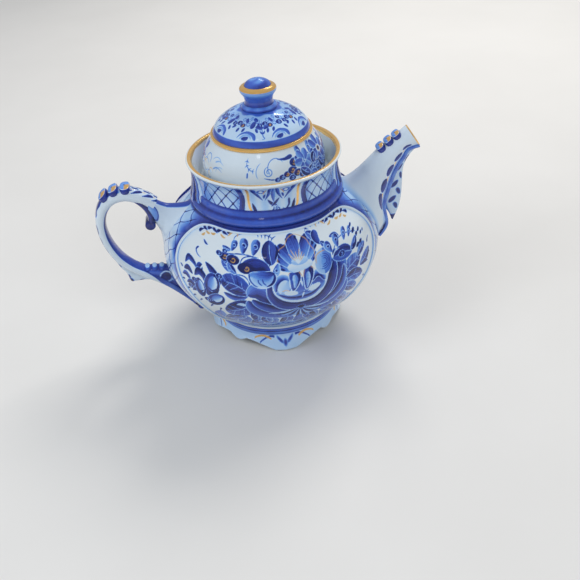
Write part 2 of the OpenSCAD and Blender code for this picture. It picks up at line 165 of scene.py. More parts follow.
def painted(name, grain=1.0):
    """Glazed porcelain whose cobalt and lustre lie where the brush put them."""
    mat, tree, shader = new_material(name)
    brush = tree.nodes.new("ShaderNodeAttribute")
    brush.attribute_name = "paint"
    parts = tree.nodes.new("ShaderNodeSeparateColor")
    link(tree, brush.outputs["Color"], parts.inputs["Color"])
    cobalt, gold = parts.outputs["Red"], parts.outputs["Green"]
    pool = spread(tree, noise(tree, 320.0, 4.0, 0.6), 1 - 0.16 * grain, 1 + 0.13 * grain)
    depth = maths(tree, "MULTIPLY", cobalt, pool)
    ramp = tree.nodes.new("ShaderNodeValToRGB")
    while len(ramp.color_ramp.elements) < len(COBALT_STOPS):
        ramp.color_ramp.elements.new(0.5)
    for stop, (at, colour) in zip(ramp.color_ramp.elements, COBALT_STOPS):
        stop.position = at
        stop.color = (*colour, 1)
    link(tree, depth, ramp.inputs["Fac"])
    body = mix(tree, spread(tree, noise(tree, 28.0, 2.0), 0.0, 0.32), ramp.outputs["Color"],
               (0.62, 0.68, 0.72))
    washed = mix(tree, cobalt, body, ramp.outputs["Color"])
    lustre = mix(tree, noise(tree, 150.0, 3.0), (1.0, 0.66, 0.22), (0.98, 0.50, 0.10))
    link(tree, mix(tree, gold, washed, lustre), shader.inputs["Base Color"])
    link(tree, maths(tree, "MULTIPLY", gold, 0.72), shader.inputs["Metallic"])
    glaze = spread(tree, noise(tree, 70.0, 3.0), 0.055, 0.12)
    rough = tree.nodes.new("ShaderNodeMix")
    link(tree, gold, rough.inputs[0])
    link(tree, glaze, rough.inputs[2])
    link(tree, spread(tree, noise(tree, 500.0, 2.0), 0.16, 0.30), rough.inputs[3])
    link(tree, rough.outputs[0], shader.inputs["Roughness"])
    relief = maths(tree, "ADD", maths(tree, "MULTIPLY", cobalt, 0.25), maths(tree, "MULTIPLY", gold, 0.5))
    height = maths(tree, "ADD", relief, spread(tree, noise(tree, 95.0, 2.0), 0.0, 1.1))
    bump = tree.nodes.new("ShaderNodeBump")
    bump.inputs["Strength"].default_value = 0.16
    bump.inputs["Distance"].default_value = 0.00025
    link(tree, height, bump.inputs["Height"])
    link(tree, bump.outputs["Normal"], shader.inputs["Normal"])
    shader.inputs["IOR"].default_value = 1.52
    shader.inputs["Coat Weight"].default_value = 0.35
    shader.inputs["Coat Roughness"].default_value = 0.04
    return mat


def raw_clay(name):
    mat, tree, shader = new_material(name)
    fleck = tree.nodes.new("ShaderNodeValToRGB")
    fleck.color_ramp.elements[0].color = (0.52, 0.46, 0.38, 1)
    fleck.color_ramp.elements[1].color = (0.78, 0.74, 0.68, 1)
    link(tree, noise(tree, 900.0, 5.0, 0.7), fleck.inputs["Fac"])
    link(tree, fleck.outputs["Color"], shader.inputs["Base Color"])
    link(tree, spread(tree, noise(tree, 400.0, 3.0), 0.7, 0.95), shader.inputs["Roughness"])
    bump = tree.nodes.new("ShaderNodeBump")
    bump.inputs["Strength"].default_value = 0.4
    bump.inputs["Distance"].default_value = 0.0002
    link(tree, noise(tree, 1500.0, 4.0, 0.6), bump.inputs["Height"])
    link(tree, bump.outputs["Normal"], shader.inputs["Normal"])
    return mat


GLAZE = {"porcelain": painted("glaze_porcelain"), "cobalt": painted("glaze_cobalt", 1.3),
         "pale_blue": painted("glaze_pale_blue"), "gilt": painted("glaze_gilt")}
BISQUE = raw_clay("bisque")

# floor
floor_mat, floor_tree, floor_shader = new_material("floor_paper")
link(floor_tree, mix(floor_tree, noise(floor_tree, 9.0, 4.0), (0.66, 0.645, 0.62), (0.72, 0.705, 0.68)),
     floor_shader.inputs["Base Color"])
floor_shader.inputs["Roughness"].default_value = 0.6
bpy.ops.mesh.primitive_grid_add(x_subdivisions=8, y_subdivisions=8, size=6, location=(0, 0, 0))
floor = bpy.context.object
floor.name = "floor"
floor.data.materials.append(floor_mat)

# ---- curves ---------------------------------------------------------------------------


def smooth(points, steps, closed=False):
    """The same smooth curve as the frame's, through rows of numbers of any length."""
    p = np.asarray(points, float)
    n = len(p)
    rows = []
    for i in range(n if closed else n - 1):
        a, b, c, d = ((p[(i + k) % n] for k in (-1, 0, 1, 2)) if closed else
                      (p[min(max(i + k, 0), n - 1)] for k in (-1, 0, 1, 2)))
        t = (np.arange(steps) / steps)[:, None]
        rows.append(0.5 * (2 * b + (c - a) * t + (2 * a - 5 * b + 4 * c - d) * t**2 +
                           (3 * b - a - 3 * c + d) * t**3))
    if not closed:
        rows.append(p[-1:])
    return np.vstack(rows)


def lengths(p):
    return np.r_[0, np.cumsum(np.linalg.norm(np.diff(p, axis=0), axis=1))]


def even(p, step):
    """A polyline cut again into steps of nearly the same length."""
    s = lengths(p)
    n = max(2, int(round(s[-1] / step)) + 1)
    at = np.linspace(0, s[-1], n)
    return np.stack([np.interp(at, s, p[:, k]) for k in range(p.shape[1])], 1)


def inset(p, d):
    v = np.gradient(p, axis=0)
    v /= np.linalg.norm(v, axis=1)[:, None]
    return np.stack([p[:, 0] - v[:, 1] * d, p[:, 1] + v[:, 0] * d], 1)


# ---- meshes ---------------------------------------------------------------------------


def mesh_from(name, co, quads, tris, paint):
    """A smooth-shaded mesh in metres with its cobalt and gold kept at each vertex."""
    quads = np.asarray(quads, np.int32).reshape(-1, 4)
    tris = np.asarray(tris, np.int32).reshape(-1, 3)
    c = co[quads[:, 0]]
    volume = np.einsum("ij,ij->", c, np.cross(co[quads[:, 1]], co[quads[:, 2]]) +
                       np.cross(co[quads[:, 2]], co[quads[:, 3]]))
    if len(tris):
        volume += np.einsum("ij,ij->", co[tris[:, 0]], np.cross(co[tris[:, 1]], co[tris[:, 2]]))
    if volume < 0:
        quads, tris = quads[:, ::-1], tris[:, ::-1]
    me = bpy.data.meshes.new(name)
    loops = np.concatenate([quads.ravel(), tris.ravel()]).astype(np.int32)
    starts = np.concatenate([np.arange(len(quads)) * 4,
                             len(quads) * 4 + np.arange(len(tris)) * 3]).astype(np.int32)
    me.vertices.add(len(co))
    me.vertices.foreach_set("co", (co * MM).astype(np.float32).ravel())
    me.loops.add(len(loops))
    me.loops.foreach_set("vertex_index", loops)
    me.polygons.add(len(starts))
    me.polygons.foreach_set("loop_start", starts)
    me.update(calc_edges=True)
    me.shade_smooth()
    set_paint(me, *paint)
    return me


def set_paint(me, cobalt, gold):
    rgba = np.zeros((len(me.vertices), 4), np.float32)
    rgba[:, 0] = np.clip(cobalt, 0, 1)
    rgba[:, 1] = np.clip(gold, 0, 1)
    rgba[:, 3] = 1
    layer = me.color_attributes.new("paint", "FLOAT_COLOR", "POINT")
    layer.data.foreach_set("color", rgba.ravel())


def piece(me, nodes, body, slot):
    obj = bpy.data.objects.new(me.name, me)
    bpy.context.scene.collection.objects.link(obj)
    obj.data.materials.append(BISQUE if slot == "bisque" else GLAZE[slot])
    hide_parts(*nodes)
    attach(obj, body)
    return obj


def folded(deg):
    """An angle round a section as 0 to 180 degrees, the same on both sides."""
    return np.where(deg > 180, 360 - deg, deg)


def tilted(x, z, deg):
    a = math.radians(deg)
    return x * math.cos(a) - z * math.sin(a), x * math.sin(a) + z * math.cos(a)


def heading(deg):
    u = math.radians(deg)
    return np.array([math.cos(u), math.sin(u)])


def ray(x, y, deg, reaches, lift=0.0):
    """Three points at the given reaches along a direction, the middle one lifted."""
    u = math.radians(deg)
    p = [(x + r * math.cos(u), y + r * math.sin(u)) for r in reaches]
    return [p[0], (p[1][0], p[1][1] + lift), p[2]]


def walled_hole(bm, hit, round_off):
    """Deletes faces of a wall's two sides, rounds off both rims and joins them."""
    gone = set(hit)
    rim = {v for f in hit for v in f.verts if any(g not in gone for g in v.link_faces)}
    edges = [e for f in hit for e in f.edges if sum(g in gone for g in e.link_faces) == 1]
    for v in rim:
        round_off(v)
    bmesh.ops.delete(bm, geom=hit, context="FACES_KEEP_BOUNDARY")
    bmesh.ops.bridge_loops(bm, edges=[e for e in edges if e.is_valid])


def grid_faces(m, n, closed):
    i, j = np.meshgrid(np.arange(m if closed else m - 1), np.arange(n), indexing="ij")
    a, b = i * n + j, i * n + (j + 1) % n
    c, d = (i + 1) % m * n + (j + 1) % n, (i + 1) % m * n + j
    return np.stack([a, b, c, d], -1).reshape(-1, 4)


def fan_faces(ring, hub):
    return np.stack([ring, np.roll(ring, -1), np.full(len(ring), hub)], 1)


def skin(rings, closed=False):
    """Vertices and faces of rings of points; open skins are closed with a point at each end."""
    m, n = rings.shape[:2]
    co = rings.reshape(-1, 3)
    quads = grid_faces(m, n, closed)
    tris = np.zeros((0, 3), int)
    if not closed:
        first, last = np.arange(n), (m - 1) * n + np.arange(n)
        co = np.vstack([co, rings[0].mean(0), rings[-1].mean(0)])
        tris = np.vstack([fan_faces(first, m * n), fan_faces(last[::-1], m * n + 1)])
    return co, quads, tris


def turned_rings(line, columns):
    """Rings of a radius-height line, with the angle measured from the front (-Y) toward +X."""
    a = np.arange(columns) / columns * 2 * math.pi - math.pi
    r, z = line[:, 0][:, None], line[:, 1][:, None]
    return np.stack([r * np.sin(a), -r * np.cos(a), z + 0 * a], -1), np.degrees(a)


def turned_piece(name, line, columns, paint, nodes, body, slot, closed=True):
    """paint(azimuth in degrees, row's arc length, radius, height) gives cobalt and gold."""
    rings, az = turned_rings(line, columns)
    s = lengths(line)
    A, S = np.meshgrid(az, s)
    R, Z = np.broadcast_to(line[:, :1], A.shape), np.broadcast_to(line[:, 1:], A.shape)
    c, g = paint(A, S, R, Z)
    c, g = np.broadcast_to(c, A.shape).ravel(), np.broadcast_to(g, A.shape).ravel()
    co, quads, tris = skin(rings, closed)
    if not closed:
        n = len(az)
        c, g = np.r_[c, c[:n].mean(), c[-n:].mean()], np.r_[g, g[:n].mean(), g[-n:].mean()]
    return piece(mesh_from(name, co, quads, tris, (c, g)), nodes, body, slot)


# ---- the brush ------------------------------------------------------------------------

STREAKS = np.random.default_rng(7).random((64, 256))


def streak(side, t, seed):
    """Fine brush lines that run along a stroke."""
    row = STREAKS[seed % 64]
    x = (side * 5.5 + 8 + 0.7 * np.sin(t * 5 + seed)) * 4
    i = np.floor(x).astype(int)
    f = x - i
    f = f * f * (3 - 2 * f)
    return row[i % 256] * (1 - f) + row[(i + 1) % 256] * f


def step01(x):
    x = np.clip(x, 0, 1)
    return x * x * (3 - 2 * x)


PROFILE = 60    # samples of a stroke's half width along it

# Half width along a stroke from its start (0) to its end (1), as a share of its full half width.
SHAPES = {
    "line": lambda t: 0.25 + 0.75 * np.minimum(1, 6 * np.minimum(t, 1 - t)),
    "even": lambda t: 0 * t + 1,
    "leaf": lambda t: np.sin(np.pi * t) ** 0.75,
    "bowl": lambda t: np.sin(np.pi * t) ** 0.42,
    "drop": lambda t: 1.25 * np.sqrt(np.clip(t * 1.02, 0, 1)) * np.sqrt(np.clip(1 - t**5, 0, 1)) *
    np.clip(t * 1.6, 0, 0.8),
    "comma": lambda t: np.clip(1.15 * np.sqrt(np.clip(1 - (1 - np.clip(t * 4.5, 0, 1)) ** 2, 0, 1)) *
                               (1 - t) ** 0.75, 0, 1),
    "petal": lambda t: np.clip(t, 0, 1) ** 0.55 * np.sqrt(np.clip(1 - np.clip(t, 0, 1) ** 7, 0, 1)),
}


class Canvas:
    """A patch of surface in millimetres that holds how dense the cobalt and the gold are."""

    def __init__(self, x0, x1, y0, y1, res=0.16, wrap=False):
        self.x0, self.y0, self.res, self.wrap = x0, y0, res, wrap
        self.nx, self.ny = int(round((x1 - x0) / res)), int(round((y1 - y0) / res))
        self.c = np.zeros((self.ny, self.nx))
        self.g = np.zeros((self.ny, self.nx))
        self.xs = x0 + (np.arange(self.nx) + 0.5) * res
        self.ys = y0 + (np.arange(self.ny) + 0.5) * res
        self.seed = 1

    def at(self, x, y):
        """Cobalt and gold at any places of the patch."""
        u = (x - self.x0) / self.res - 0.5
        v = np.clip((y - self.y0) / self.res - 0.5, 0, self.ny - 1.001)
        u = u % self.nx if self.wrap else np.clip(u, 0, self.nx - 1.001)
        i, j = np.floor(u).astype(int), np.floor(v).astype(int)
        fu, fv = u - i, v - j
        i, i2 = i % self.nx, (i + 1) % self.nx
        out = []
        for a in (self.c, self.g):
            out.append((a[j, i] * (1 - fu) + a[j, i2] * fu) * (1 - fv) +
                       (a[j + 1, i] * (1 - fu) + a[j + 1, i2] * fu) * fv)
        return out

    def window(self, pts, pad):
        lo, hi = pts.min(0) - pad, pts.max(0) + pad
        i0, i1 = np.searchsorted(self.xs, (lo[0], hi[0]))
        j0, j1 = np.searchsorted(self.ys, (lo[1], hi[1]))
        return slice(j0, j1), slice(i0, i1)

    def near(self, line, win, half):
        """How far inside a stroke each place is, its place along it and across it."""
        X, Y = np.meshgrid(self.xs[win[1]], self.ys[win[0]])
        s = lengths(line)
        s /= s[-1]
        best = np.full(X.shape, -1e9)
        along, side = np.zeros(X.shape), np.zeros(X.shape)
        for k in range(len(line) - 1):
            a, v = line[k], line[k + 1] - line[k]
            n2 = v @ v
            if n2 < 1e-12:
                continue
            q = np.clip(((X - a[0]) * v[0] + (Y - a[1]) * v[1]) / n2, 0, 1)
            dx, dy = X - a[0] - q * v[0], Y - a[1] - q * v[1]
            d = np.hypot(dx, dy)
            t = s[k] + q * (s[k + 1] - s[k])
            h = np.interp(t, half[0], half[1])
            depth = h - d
            m = depth > best
            best = np.where(m, depth, best)
            along = np.where(m, t, along)
            side = np.where(m, np.sign(v[0] * dy - v[1] * dx) * d / np.maximum(h, 1e-3), side)
        return best, along, np.clip(side, -1, 1)

    def stroke(self, pts, width, d=0.85, d2=None, ends=(1, 1), shape="leaf", gap=0.0, streaks=0.22,
               gold=False,
               soft=0.16, add=False, raw=False):
        """One brush stroke: d and d2 are its density at the left and right edge, ends its fading."""
        pts = np.asarray(pts, float)
        line = pts if raw or len(pts) < 3 else smooth(pts, 6)
        if len(line) == 2:
            line = even(line, max(0.5, np.linalg.norm(line[1] - line[0]) / 10))
        t = np.linspace(0, 1, PROFILE)
        half = (t, SHAPES[shape](t) * width / 2)
        win = self.window(line, width / 2 + gap + 2 * soft)
        if win[0].start >= win[0].stop or win[1].start >= win[1].stop:
            return
        depth, along, side = self.near(line, win, half)
        self.seed += 1
        m = step01(depth / soft + 0.5) if soft > 0 else depth > 0
        c, g = self.c[win], self.g[win]
        if gold:
            self.g[win] = np.maximum(g, m * gold)
            return
        if gap:
            wide = step01((depth + gap) / soft + 0.5)
            c *= 1 - wide
            g *= 1 - wide
        d2 = d if d2 is None else d2
        q = step01(side * 0.5 + 0.5)
        dens = (d * (1 - q) + d2 * q) * (ends[0] * (1 - along) + ends[1] * along)
        if streaks:
            dens = dens * (1 + streaks * (streak(side, along, self.seed) - 0.55))
        if add:
            self.c[win] = np.maximum(c, m * dens)
        else:
            self.c[win] = c * (1 - m) + m * dens
            g *= 1 - m

    # -- motifs, all of them in the patch's millimetres --

    def line(self, pts, w=0.45, d=0.95, gold=False, shape="line"):
        self.stroke(pts, w, d, shape=shape, streaks=0, add=True, gold=gold, soft=0.2)

    def disc(self, x, y, rx, ry=None, turn=0, d=0.8, d2=None, gap=0.0, ends=(1, 1)):
        ry = rx if ry is None else ry
        u = heading(turn) * rx
        t = np.linspace(-1, 1, 9)[:, None]
        line = np.array([x, y]) + t * u * 0.999
        self.stroke_profile(line, ry, d, d if d2 is None else d2, gap, ends)

    def stroke_profile(self, line, ry, d, d2, gap, ends):
        t = np.linspace(0, 1, PROFILE)
        half = (t, ry * np.sqrt(np.clip(1 - (2 * t - 1) ** 2, 0, 1)))
        win = self.window(line, ry + gap + 0.4)
        depth, along, side = self.near(line, win, half)
        m = step01(depth / 0.16 + 0.5)
        if gap:
            wide = step01((depth + gap) / 0.16 + 0.5)
            self.c[win] *= 1 - wide
            self.g[win] *= 1 - wide
        q = step01(side * 0.5 + 0.5)
        self.seed += 1
        dens = (d * (1 - q) + d2 * q) * (ends[0] * (1 - along) + ends[1] * along)
        dens = dens * (1 + 0.2 * (streak(side, along, self.seed) - 0.55))
        self.c[win] = self.c[win] * (1 - m) + m * dens
        self.g[win] *= 1 - m

    def ring(self, x, y, r, w, d=0.9, gold=False, a0=0, a1=360):
        a = np.radians(np.linspace(a0, a1, 25))
        self.stroke(np.stack([x + r * np.cos(a), y + r * np.sin(a)], 1), w, d,
                    shape="even" if a1 - a0 >= 360 else "line",
                    streaks=0, add=True, gold=gold, raw=True)

    def spiral(self, x, y, r, turns=1.6, w=0.45, d=0.9, start=90, gold=False, flip=1, white=False):
        t = np.linspace(0, 1, 40)
        a = np.radians(start) + flip * t * turns * 2 * math.pi
        pts = np.stack([x + r * (1 - 0.88 * t) * np.cos(a), y + r * (1 - 0.88 * t) * np.sin(a)], 1)
        self.stroke(pts, w, 0.05 if white else d, shape="line", streaks=0, add=not white, gold=gold, raw=True)

    def berry(self, x, y, r, gold=True):
        self.disc(x, y, r, d=1.0, d2=0.86, gap=0.25)
        self.spiral(x + 0.05 * r, y, 0.62 * r, 1.1, 0.36, start=200, gold=0.95 if gold else False,
                    white=not gold)

    def bud(self, x, y, length, width, turn, dark=0.85, pale=0.35):
        """A rounded petal with a curl of white in it, pointing along `turn`."""
        u = heading(turn)
        c = np.array([x, y])
        self.stroke([c - u * length / 2, c, c + u * length / 2], width, dark, pale, shape="petal", gap=0.3)
        tip = c + u * length * 0.14
        self.spiral(tip[0], tip[1], width * 0.27, 1.3, 0.42, start=turn + 180, white=True)
        self.disc(tip[0], tip[1], width * 0.09, d=0.95)

    def leaf(self, base, tip, width, bend=0.0, dark=0.9, pale=0.4, veins=5, gap=0.35):
        """A leaf with pale veins; `bend` bows its middle line."""
        b, p = np.asarray(base, float), np.asarray(tip, float)
        v = p - b
        n = np.array([-v[1], v[0]]) / np.linalg.norm(v)
        mid = (b + p) / 2 + n * bend
        self.stroke([b, mid, p], width, dark, pale, gap=gap, streaks=0.3)
        rib = smooth([b, mid, p], 8)
        self.stroke(rib[:15], 0.42, 0.08, shape="line", streaks=0, raw=True)
        for k in range(veins):
            f = (k + 0.7) / (veins + 0.6)
            i = int(f * 16)
            w = SHAPES["leaf"](f) * width * 0.42
            t = rib[min(i + 1, 16)] - rib[max(i - 1, 0)]
            t /= np.linalg.norm(t)
            m = np.array([-t[1], t[0]])
            for s in (-1, 1):
                self.stroke([rib[i], rib[i] + t * w * 0.45 + m * s * w * 0.6,
                             rib[i] + t * w * 0.75 + m * s * w], 0.3,
                            0.12 if (k + (s > 0)) % 2 else 0.98, shape="line", streaks=0)

    def ticks(self, pts, n, size, lean=60, d=0.95, w=0.5):
        """A tendril with short strokes along it."""
        line = smooth(pts, 8)
        self.line(pts, 0.35, d)
        s = lengths(line)
        for k in range(n):
            at = (k + 0.6) / n * s[-1]
            p = np.array([np.interp(at, s, line[:, 0]), np.interp(at, s, line[:, 1])])
            q = np.array([np.interp(min(at + 0.5, s[-1]), s, line[:, 0]),
                          np.interp(min(at + 0.5, s[-1]), s, line[:, 1])])
            t = (q - p) / max(np.linalg.norm(q - p), 1e-6)
            for sg in (-1, 1):
                a = math.radians(lean * sg)
                u = np.array([t[0] * math.cos(a) - t[1] * math.sin(a),
                              t[0] * math.sin(a) + t[1] * math.cos(a)])
                self.stroke([p, p + u * size * 0.6, p + u * size], w, d, shape="comma", streaks=0, add=True)


def mirrored(points, flip):
    return [(flip * x, y) for x, y in points]


# ---- body: its line and its painted charts --------------------------------------------

BODY = smooth([(40.2, 14), (41.9, 19), (47.4, 24.5), (55.6, 32), (62.5, 41), (67.8, 52), (69.2, 62),
               (67.2, 72),
               (61.6, 82), (53.1, 90), (46, 95), (44, 96.5)], 12)
BODY_S = lengths(BODY)
BODY_S -= np.interp(62, BODY[:, 1], BODY_S)


def body_radius(z):
    return np.interp(z, BODY[:, 1], BODY[:, 0])


PANEL = smooth([(0, 93.2), (28, 93.2), (50, 93.4), (60, 90.5), (64.5, 83), (64, 74), (59, 64), (52, 52),
                (47, 40),
                (43.5, 28), (38, 20.2), (20, 18.8), (0, 18.6), (-20, 18.8), (-38, 20.2), (-43.5, 28),
                (-47, 40),
                (-52, 52), (-59, 64), (-64, 74), (-64.5, 83), (-60, 90.5), (-50, 93.4),
                (-28, 93.2)], 4, closed=True)


def panel_chart():
    r = body_radius(PANEL[:, 1])
    return np.stack([np.radians(PANEL[:, 0]) * r, np.interp(PANEL[:, 1], BODY[:, 1], BODY_S)], 1)


def signed_distance(poly, X, Y):
    """Distance to a closed outline, positive inside."""
    best = np.full(X.shape, 1e9)
    inside = np.zeros(X.shape, bool)
    n = len(poly)
    for k in range(n):
        a, b = poly[k], poly[(k + 1) % n]
        v = b - a
        q = np.clip(((X - a[0]) * v[0] + (Y - a[1]) * v[1]) / (v @ v), 0, 1)
        best = np.minimum(best, (X - a[0] - q * v[0]) ** 2 + (Y - a[1] - q * v[1]) ** 2)
        if a[1] != b[1]:
            cross = ((a[1] > Y) != (b[1] > Y)) & (X < v[0] * (Y - a[1]) / v[1] + a[0])
            inside ^= cross
    return np.where(inside, 1, -1) * np.sqrt(best)


def petal(cv, pts, width, d, d2, **kw):
    cv.stroke(pts, width, d, d2, gap=kw.pop("gap", 0.35), shape=kw.pop("shape", "bowl"), **kw)


def garland(cv, flip):
    """The corner sprays under the panel's upper edge."""
    def put(pts, w, d=0.97, **kw):
        cv.stroke(mirrored(pts, flip), w, d, shape="comma", streaks=0.1, **kw)
    for x, y, a, l, w in ((-50, 34.3, 25, 4.5, 1.9), (-46.5, 35.8, -20, 3.6, 2.2),
                          (-42.5, 37.2, 10, 4.2, 2.0),
                          (-38.6, 36.6, -35, 3.6, 2.1), (-35.3, 37.4, 15, 3.8, 1.9),
                          (-31.5, 36.6, -25, 3.4, 1.9),
                          (-28.2, 37.6, 5, 3.6, 1.5)):
        put(ray(x, y, a, (-l / 2, 0, l / 2), 0.3), w)
    for x, y, a in ((-44.6, 34.6, -12), (-40.4, 34.9, 8), (-33.4, 34.9, -28), (-48.5, 32.6, 30)):
        cv.stroke(mirrored(ray(x, y, a, (-1.9, 0, 1.9), -0.5), flip), 1.3, gold=0.9)
    cv.line(mirrored([(-30, 35.5), (-26, 38.6), (-23.6, 37.6), (-23.9, 35.8)], flip), 0.8, gold=0.8)


def rose(cv):
    """The big rose: a bowl of wide cupped petals with white edges, and upright petals inside it."""
    # lower outer petals, back to front
    petal(cv, [(-22, -3.0), (-18, -9.5), (-8, -14.2), (4, -15.4), (9, -13)], 10.5, 0.5, 0.95)
    petal(cv, [(39, -1.0), (34.5, -8), (26, -13.4), (15, -15.4), (9.5, -13)], 10.0, 0.95, 0.5)
    petal(cv, [(-21, 2.6), (-16, 4.6), (-10.8, 1.2), (-7.0, -6.0)], 11.0, 0.94, 0.45, ends=(0.85, 1.1))
    petal(cv, [(-19.4, -1.6), (-14, -6.0), (-5, -10.2), (6, -11.6)], 6.4, 0.58, 0.98)
    # the right-hand petal that sweeps up beside the bloom
    petal(cv, [(32.4, 19.0), (36.2, 12.4), (35.4, 4.4), (29.6, -3.6), (20, -9.6)], 9.6, 0.97, 0.5)
    petal(cv, [(38.6, 8.6), (37.6, 1.6), (33.0, -5.4), (24, -11.0), (13, -12.4)], 5.6, 0.98, 0.42)
    # the dark bowl with its white lip
    petal(cv, [(-8.6, 9.4), (-7.6, 1.4), (-2.0, -5.4), (8.4, -8.0), (18.6, -6.4), (26.0, -0.4), (30.6, 8.2),
               (31.4, 15.2)], 8.8, 0.72, 0.99,
          gap=0.45)
    petal(cv, [(-6.8, 9.2), (-5.4, 2.6), (0.4, -2.2), (8.8, -4.2), (17.2, -2.8), (23.2, 2.0), (26.6, 8.6)],
          2.6, 0.08, 0.12, streaks=0.9)
    # what the cup holds
    cv.disc(9.2, 4.2, 14.6, 6.2, 0, d=0.42, d2=0.72)
    petal(cv, [(-4.0, 1.4), (1.2, -1.4), (8.8, -2.6), (16.6, -1.4), (21.6, 2.6)], 2.6, 0.5, 0.98, gap=0)
    petal(cv, [(-5.6, 3.4), (-4.8, 9.2), (-0.6, 11.4), (3.2, 8.0), (2.6, 3.2)], 4.2, 0.96, 0.22)
    cv.disc(-0.6, 5.8, 3.0, 3.6, 60, d=0.22, d2=0.08)
    petal(cv, [(24.4, 5.2), (22.4, 9.6), (18.6, 10.2), (16.2, 6.8)], 4.2, 0.25, 0.9)
    petal(cv, [(4.4, 3.2), (6.2, 9.6), (6.2, 14.6)], 8.4, 0.92, 0.62, shape="petal", gap=0.55, streaks=0.45)
    petal(cv, [(5.6, 4.2), (6.3, 8.6), (6.2, 11.8)], 4.2, 0.42, 0.12, shape="petal", gap=0, streaks=0.6)
    petal(cv, [(12.6, 2.6), (14.2, 9.6), (14.8, 14.8)], 7.6, 0.9, 0.75, shape="petal", gap=0.55, streaks=0.45)
    petal(cv, [(12.8, 3.0), (13.9, 8.0), (14.2, 12.2)], 3.8, 0.15, 0.42, shape="petal", gap=0, streaks=0.6)
    for x, y, a in ((9.6, 9.8, 96), (16.6, 4.8, 50), (11.2, 2.2, 70)):
        u = math.radians(a)
        cv.stroke([(x, y), (x - 2.8 * math.cos(u), y - 2.8 * math.sin(u)),
                   (x - 5.4 * math.cos(u), y - 5.4 * math.sin(u))], 1.1, 0.06, streaks=0)
    cv.disc(3.2, 1.6, 4.0, 1.5, -8, d=0.06, gap=0.1)
    cv.disc(17.6, 2.6, 3.4, 1.7, 20, d=0.06, gap=0.1)
    cv.line([(-2.2, 3.4), (0.4, 3.9), (2.6, 3.0)], 0.4, gold=0.85)
    cv.line([(7.4, 0.4), (11, 1.0), (14.4, 0.3)], 0.35, 0.9)
    for pts in ([(2.2, 12.4), (5.0, 15.2), (8.6, 14.0), (10.8, 10.0)],
                [(11.2, 10.2), (12.4, 14.2), (15.6, 15.6), (18.4, 13.0)]):
        cv.line(pts, 0.42, gold=0.75)
    # the knot under the bowl and the strokes that fan from it
    cv.disc(8.6, -9.9, 2.0, 1.5, 0, d=1.0, gap=0.2)
    for a, l, w, dd in ((-170, 20, 1.5, 0.15), (-160, 17, 1.7, 0.95), (-148, 14, 1.5, 0.3),
                        (-134, 12, 2.2, 0.9), (-118, 11, 1.6, 0.25),
                        (-104, 12, 2.3, 0.92), (-90, 10, 1.4, 0.2), (-76, 13, 2.2, 0.9), (-62, 12, 1.5, 0.2),
                        (-48, 13, 2.4, 0.93),
                        (-34, 14, 1.5, 0.25), (-22, 16, 1.9, 0.9), (-12, 19, 1.3, 0.15)):
        e = heading(a)
        b = np.array([8.6, -10.6])
        cv.stroke([b + e * 1.6, b + e * l * 0.55 + (0, -0.6), b + e * l + (0, 0.8)], w, dd, gap=0.12,
                  streaks=0.3)


def fan_bloom(cv):
    """The upright serrated bloom with a pale heart and gilded stamens."""
    base = np.array([9.4, 14.6])
    for a, l, w, d, d2 in ((158, 11.5, 7.0, 0.45, 0.95), (140, 15.5, 7.4, 0.5, 0.96),
                           (36, 12.5, 7.0, 0.96, 0.4),
                           (52, 17.5, 8.0, 0.92, 0.4), (122, 18.2, 8.0, 0.55, 0.92),
                           (70, 20.0, 8.4, 0.88, 0.5),
                           (98, 21.0, 9.0, 0.7, 0.74)):
        e = heading(a)
        cv.stroke([base, base + e * l * 0.5, base + e * l], w, d2, d, shape="petal", gap=0.35, streaks=0.5,
                  ends=(0.25, 1.12))
        side = np.array([-e[1], e[0]])
        for k in (-1, 0, 1):
            tip = base + e * (l - 0.3 - abs(k) * 1.6) + side * k * w * 0.3
            cv.stroke([tip - e * 2.2, tip, tip + e * 0.9], 1.6, 0.95, shape="drop", streaks=0.1)
    rim = [(-1.8, 18.0), (-2.6, 22.5), (-1.2, 27.5), (2.6, 30.0), (4.4, 33.6), (8.2, 35.8), (12.2, 34.2),
           (15.6, 31.4), (17.4, 27.4),
           (19.6, 23.4), (19.4, 19.4)]
    cv.line(rim, 0.34, gold=0.7, shape="even")
    cv.disc(10.2, 17.0, 7.6, 2.9, 2, d=0.10, d2=0.02, gap=0)
    cv.disc(10.2, 19.8, 4.6, 2.4, 0, d=0.22, d2=0.12)
    for a, l in ((128, 8.4), (112, 9.6), (98, 7.2), (80, 8.8), (64, 7.2), (48, 6.4)):
        e = heading(a)
        b = np.array([9.2, 18.2])
        cv.stroke([b, b + e * l * 0.6 + (0.3, 0), b + e * l], 0.75, 0.04, shape="comma", streaks=0)
        cv.stroke([b + e * l * 0.3, b + e * l], 0.34, gold=0.85, shape="line")


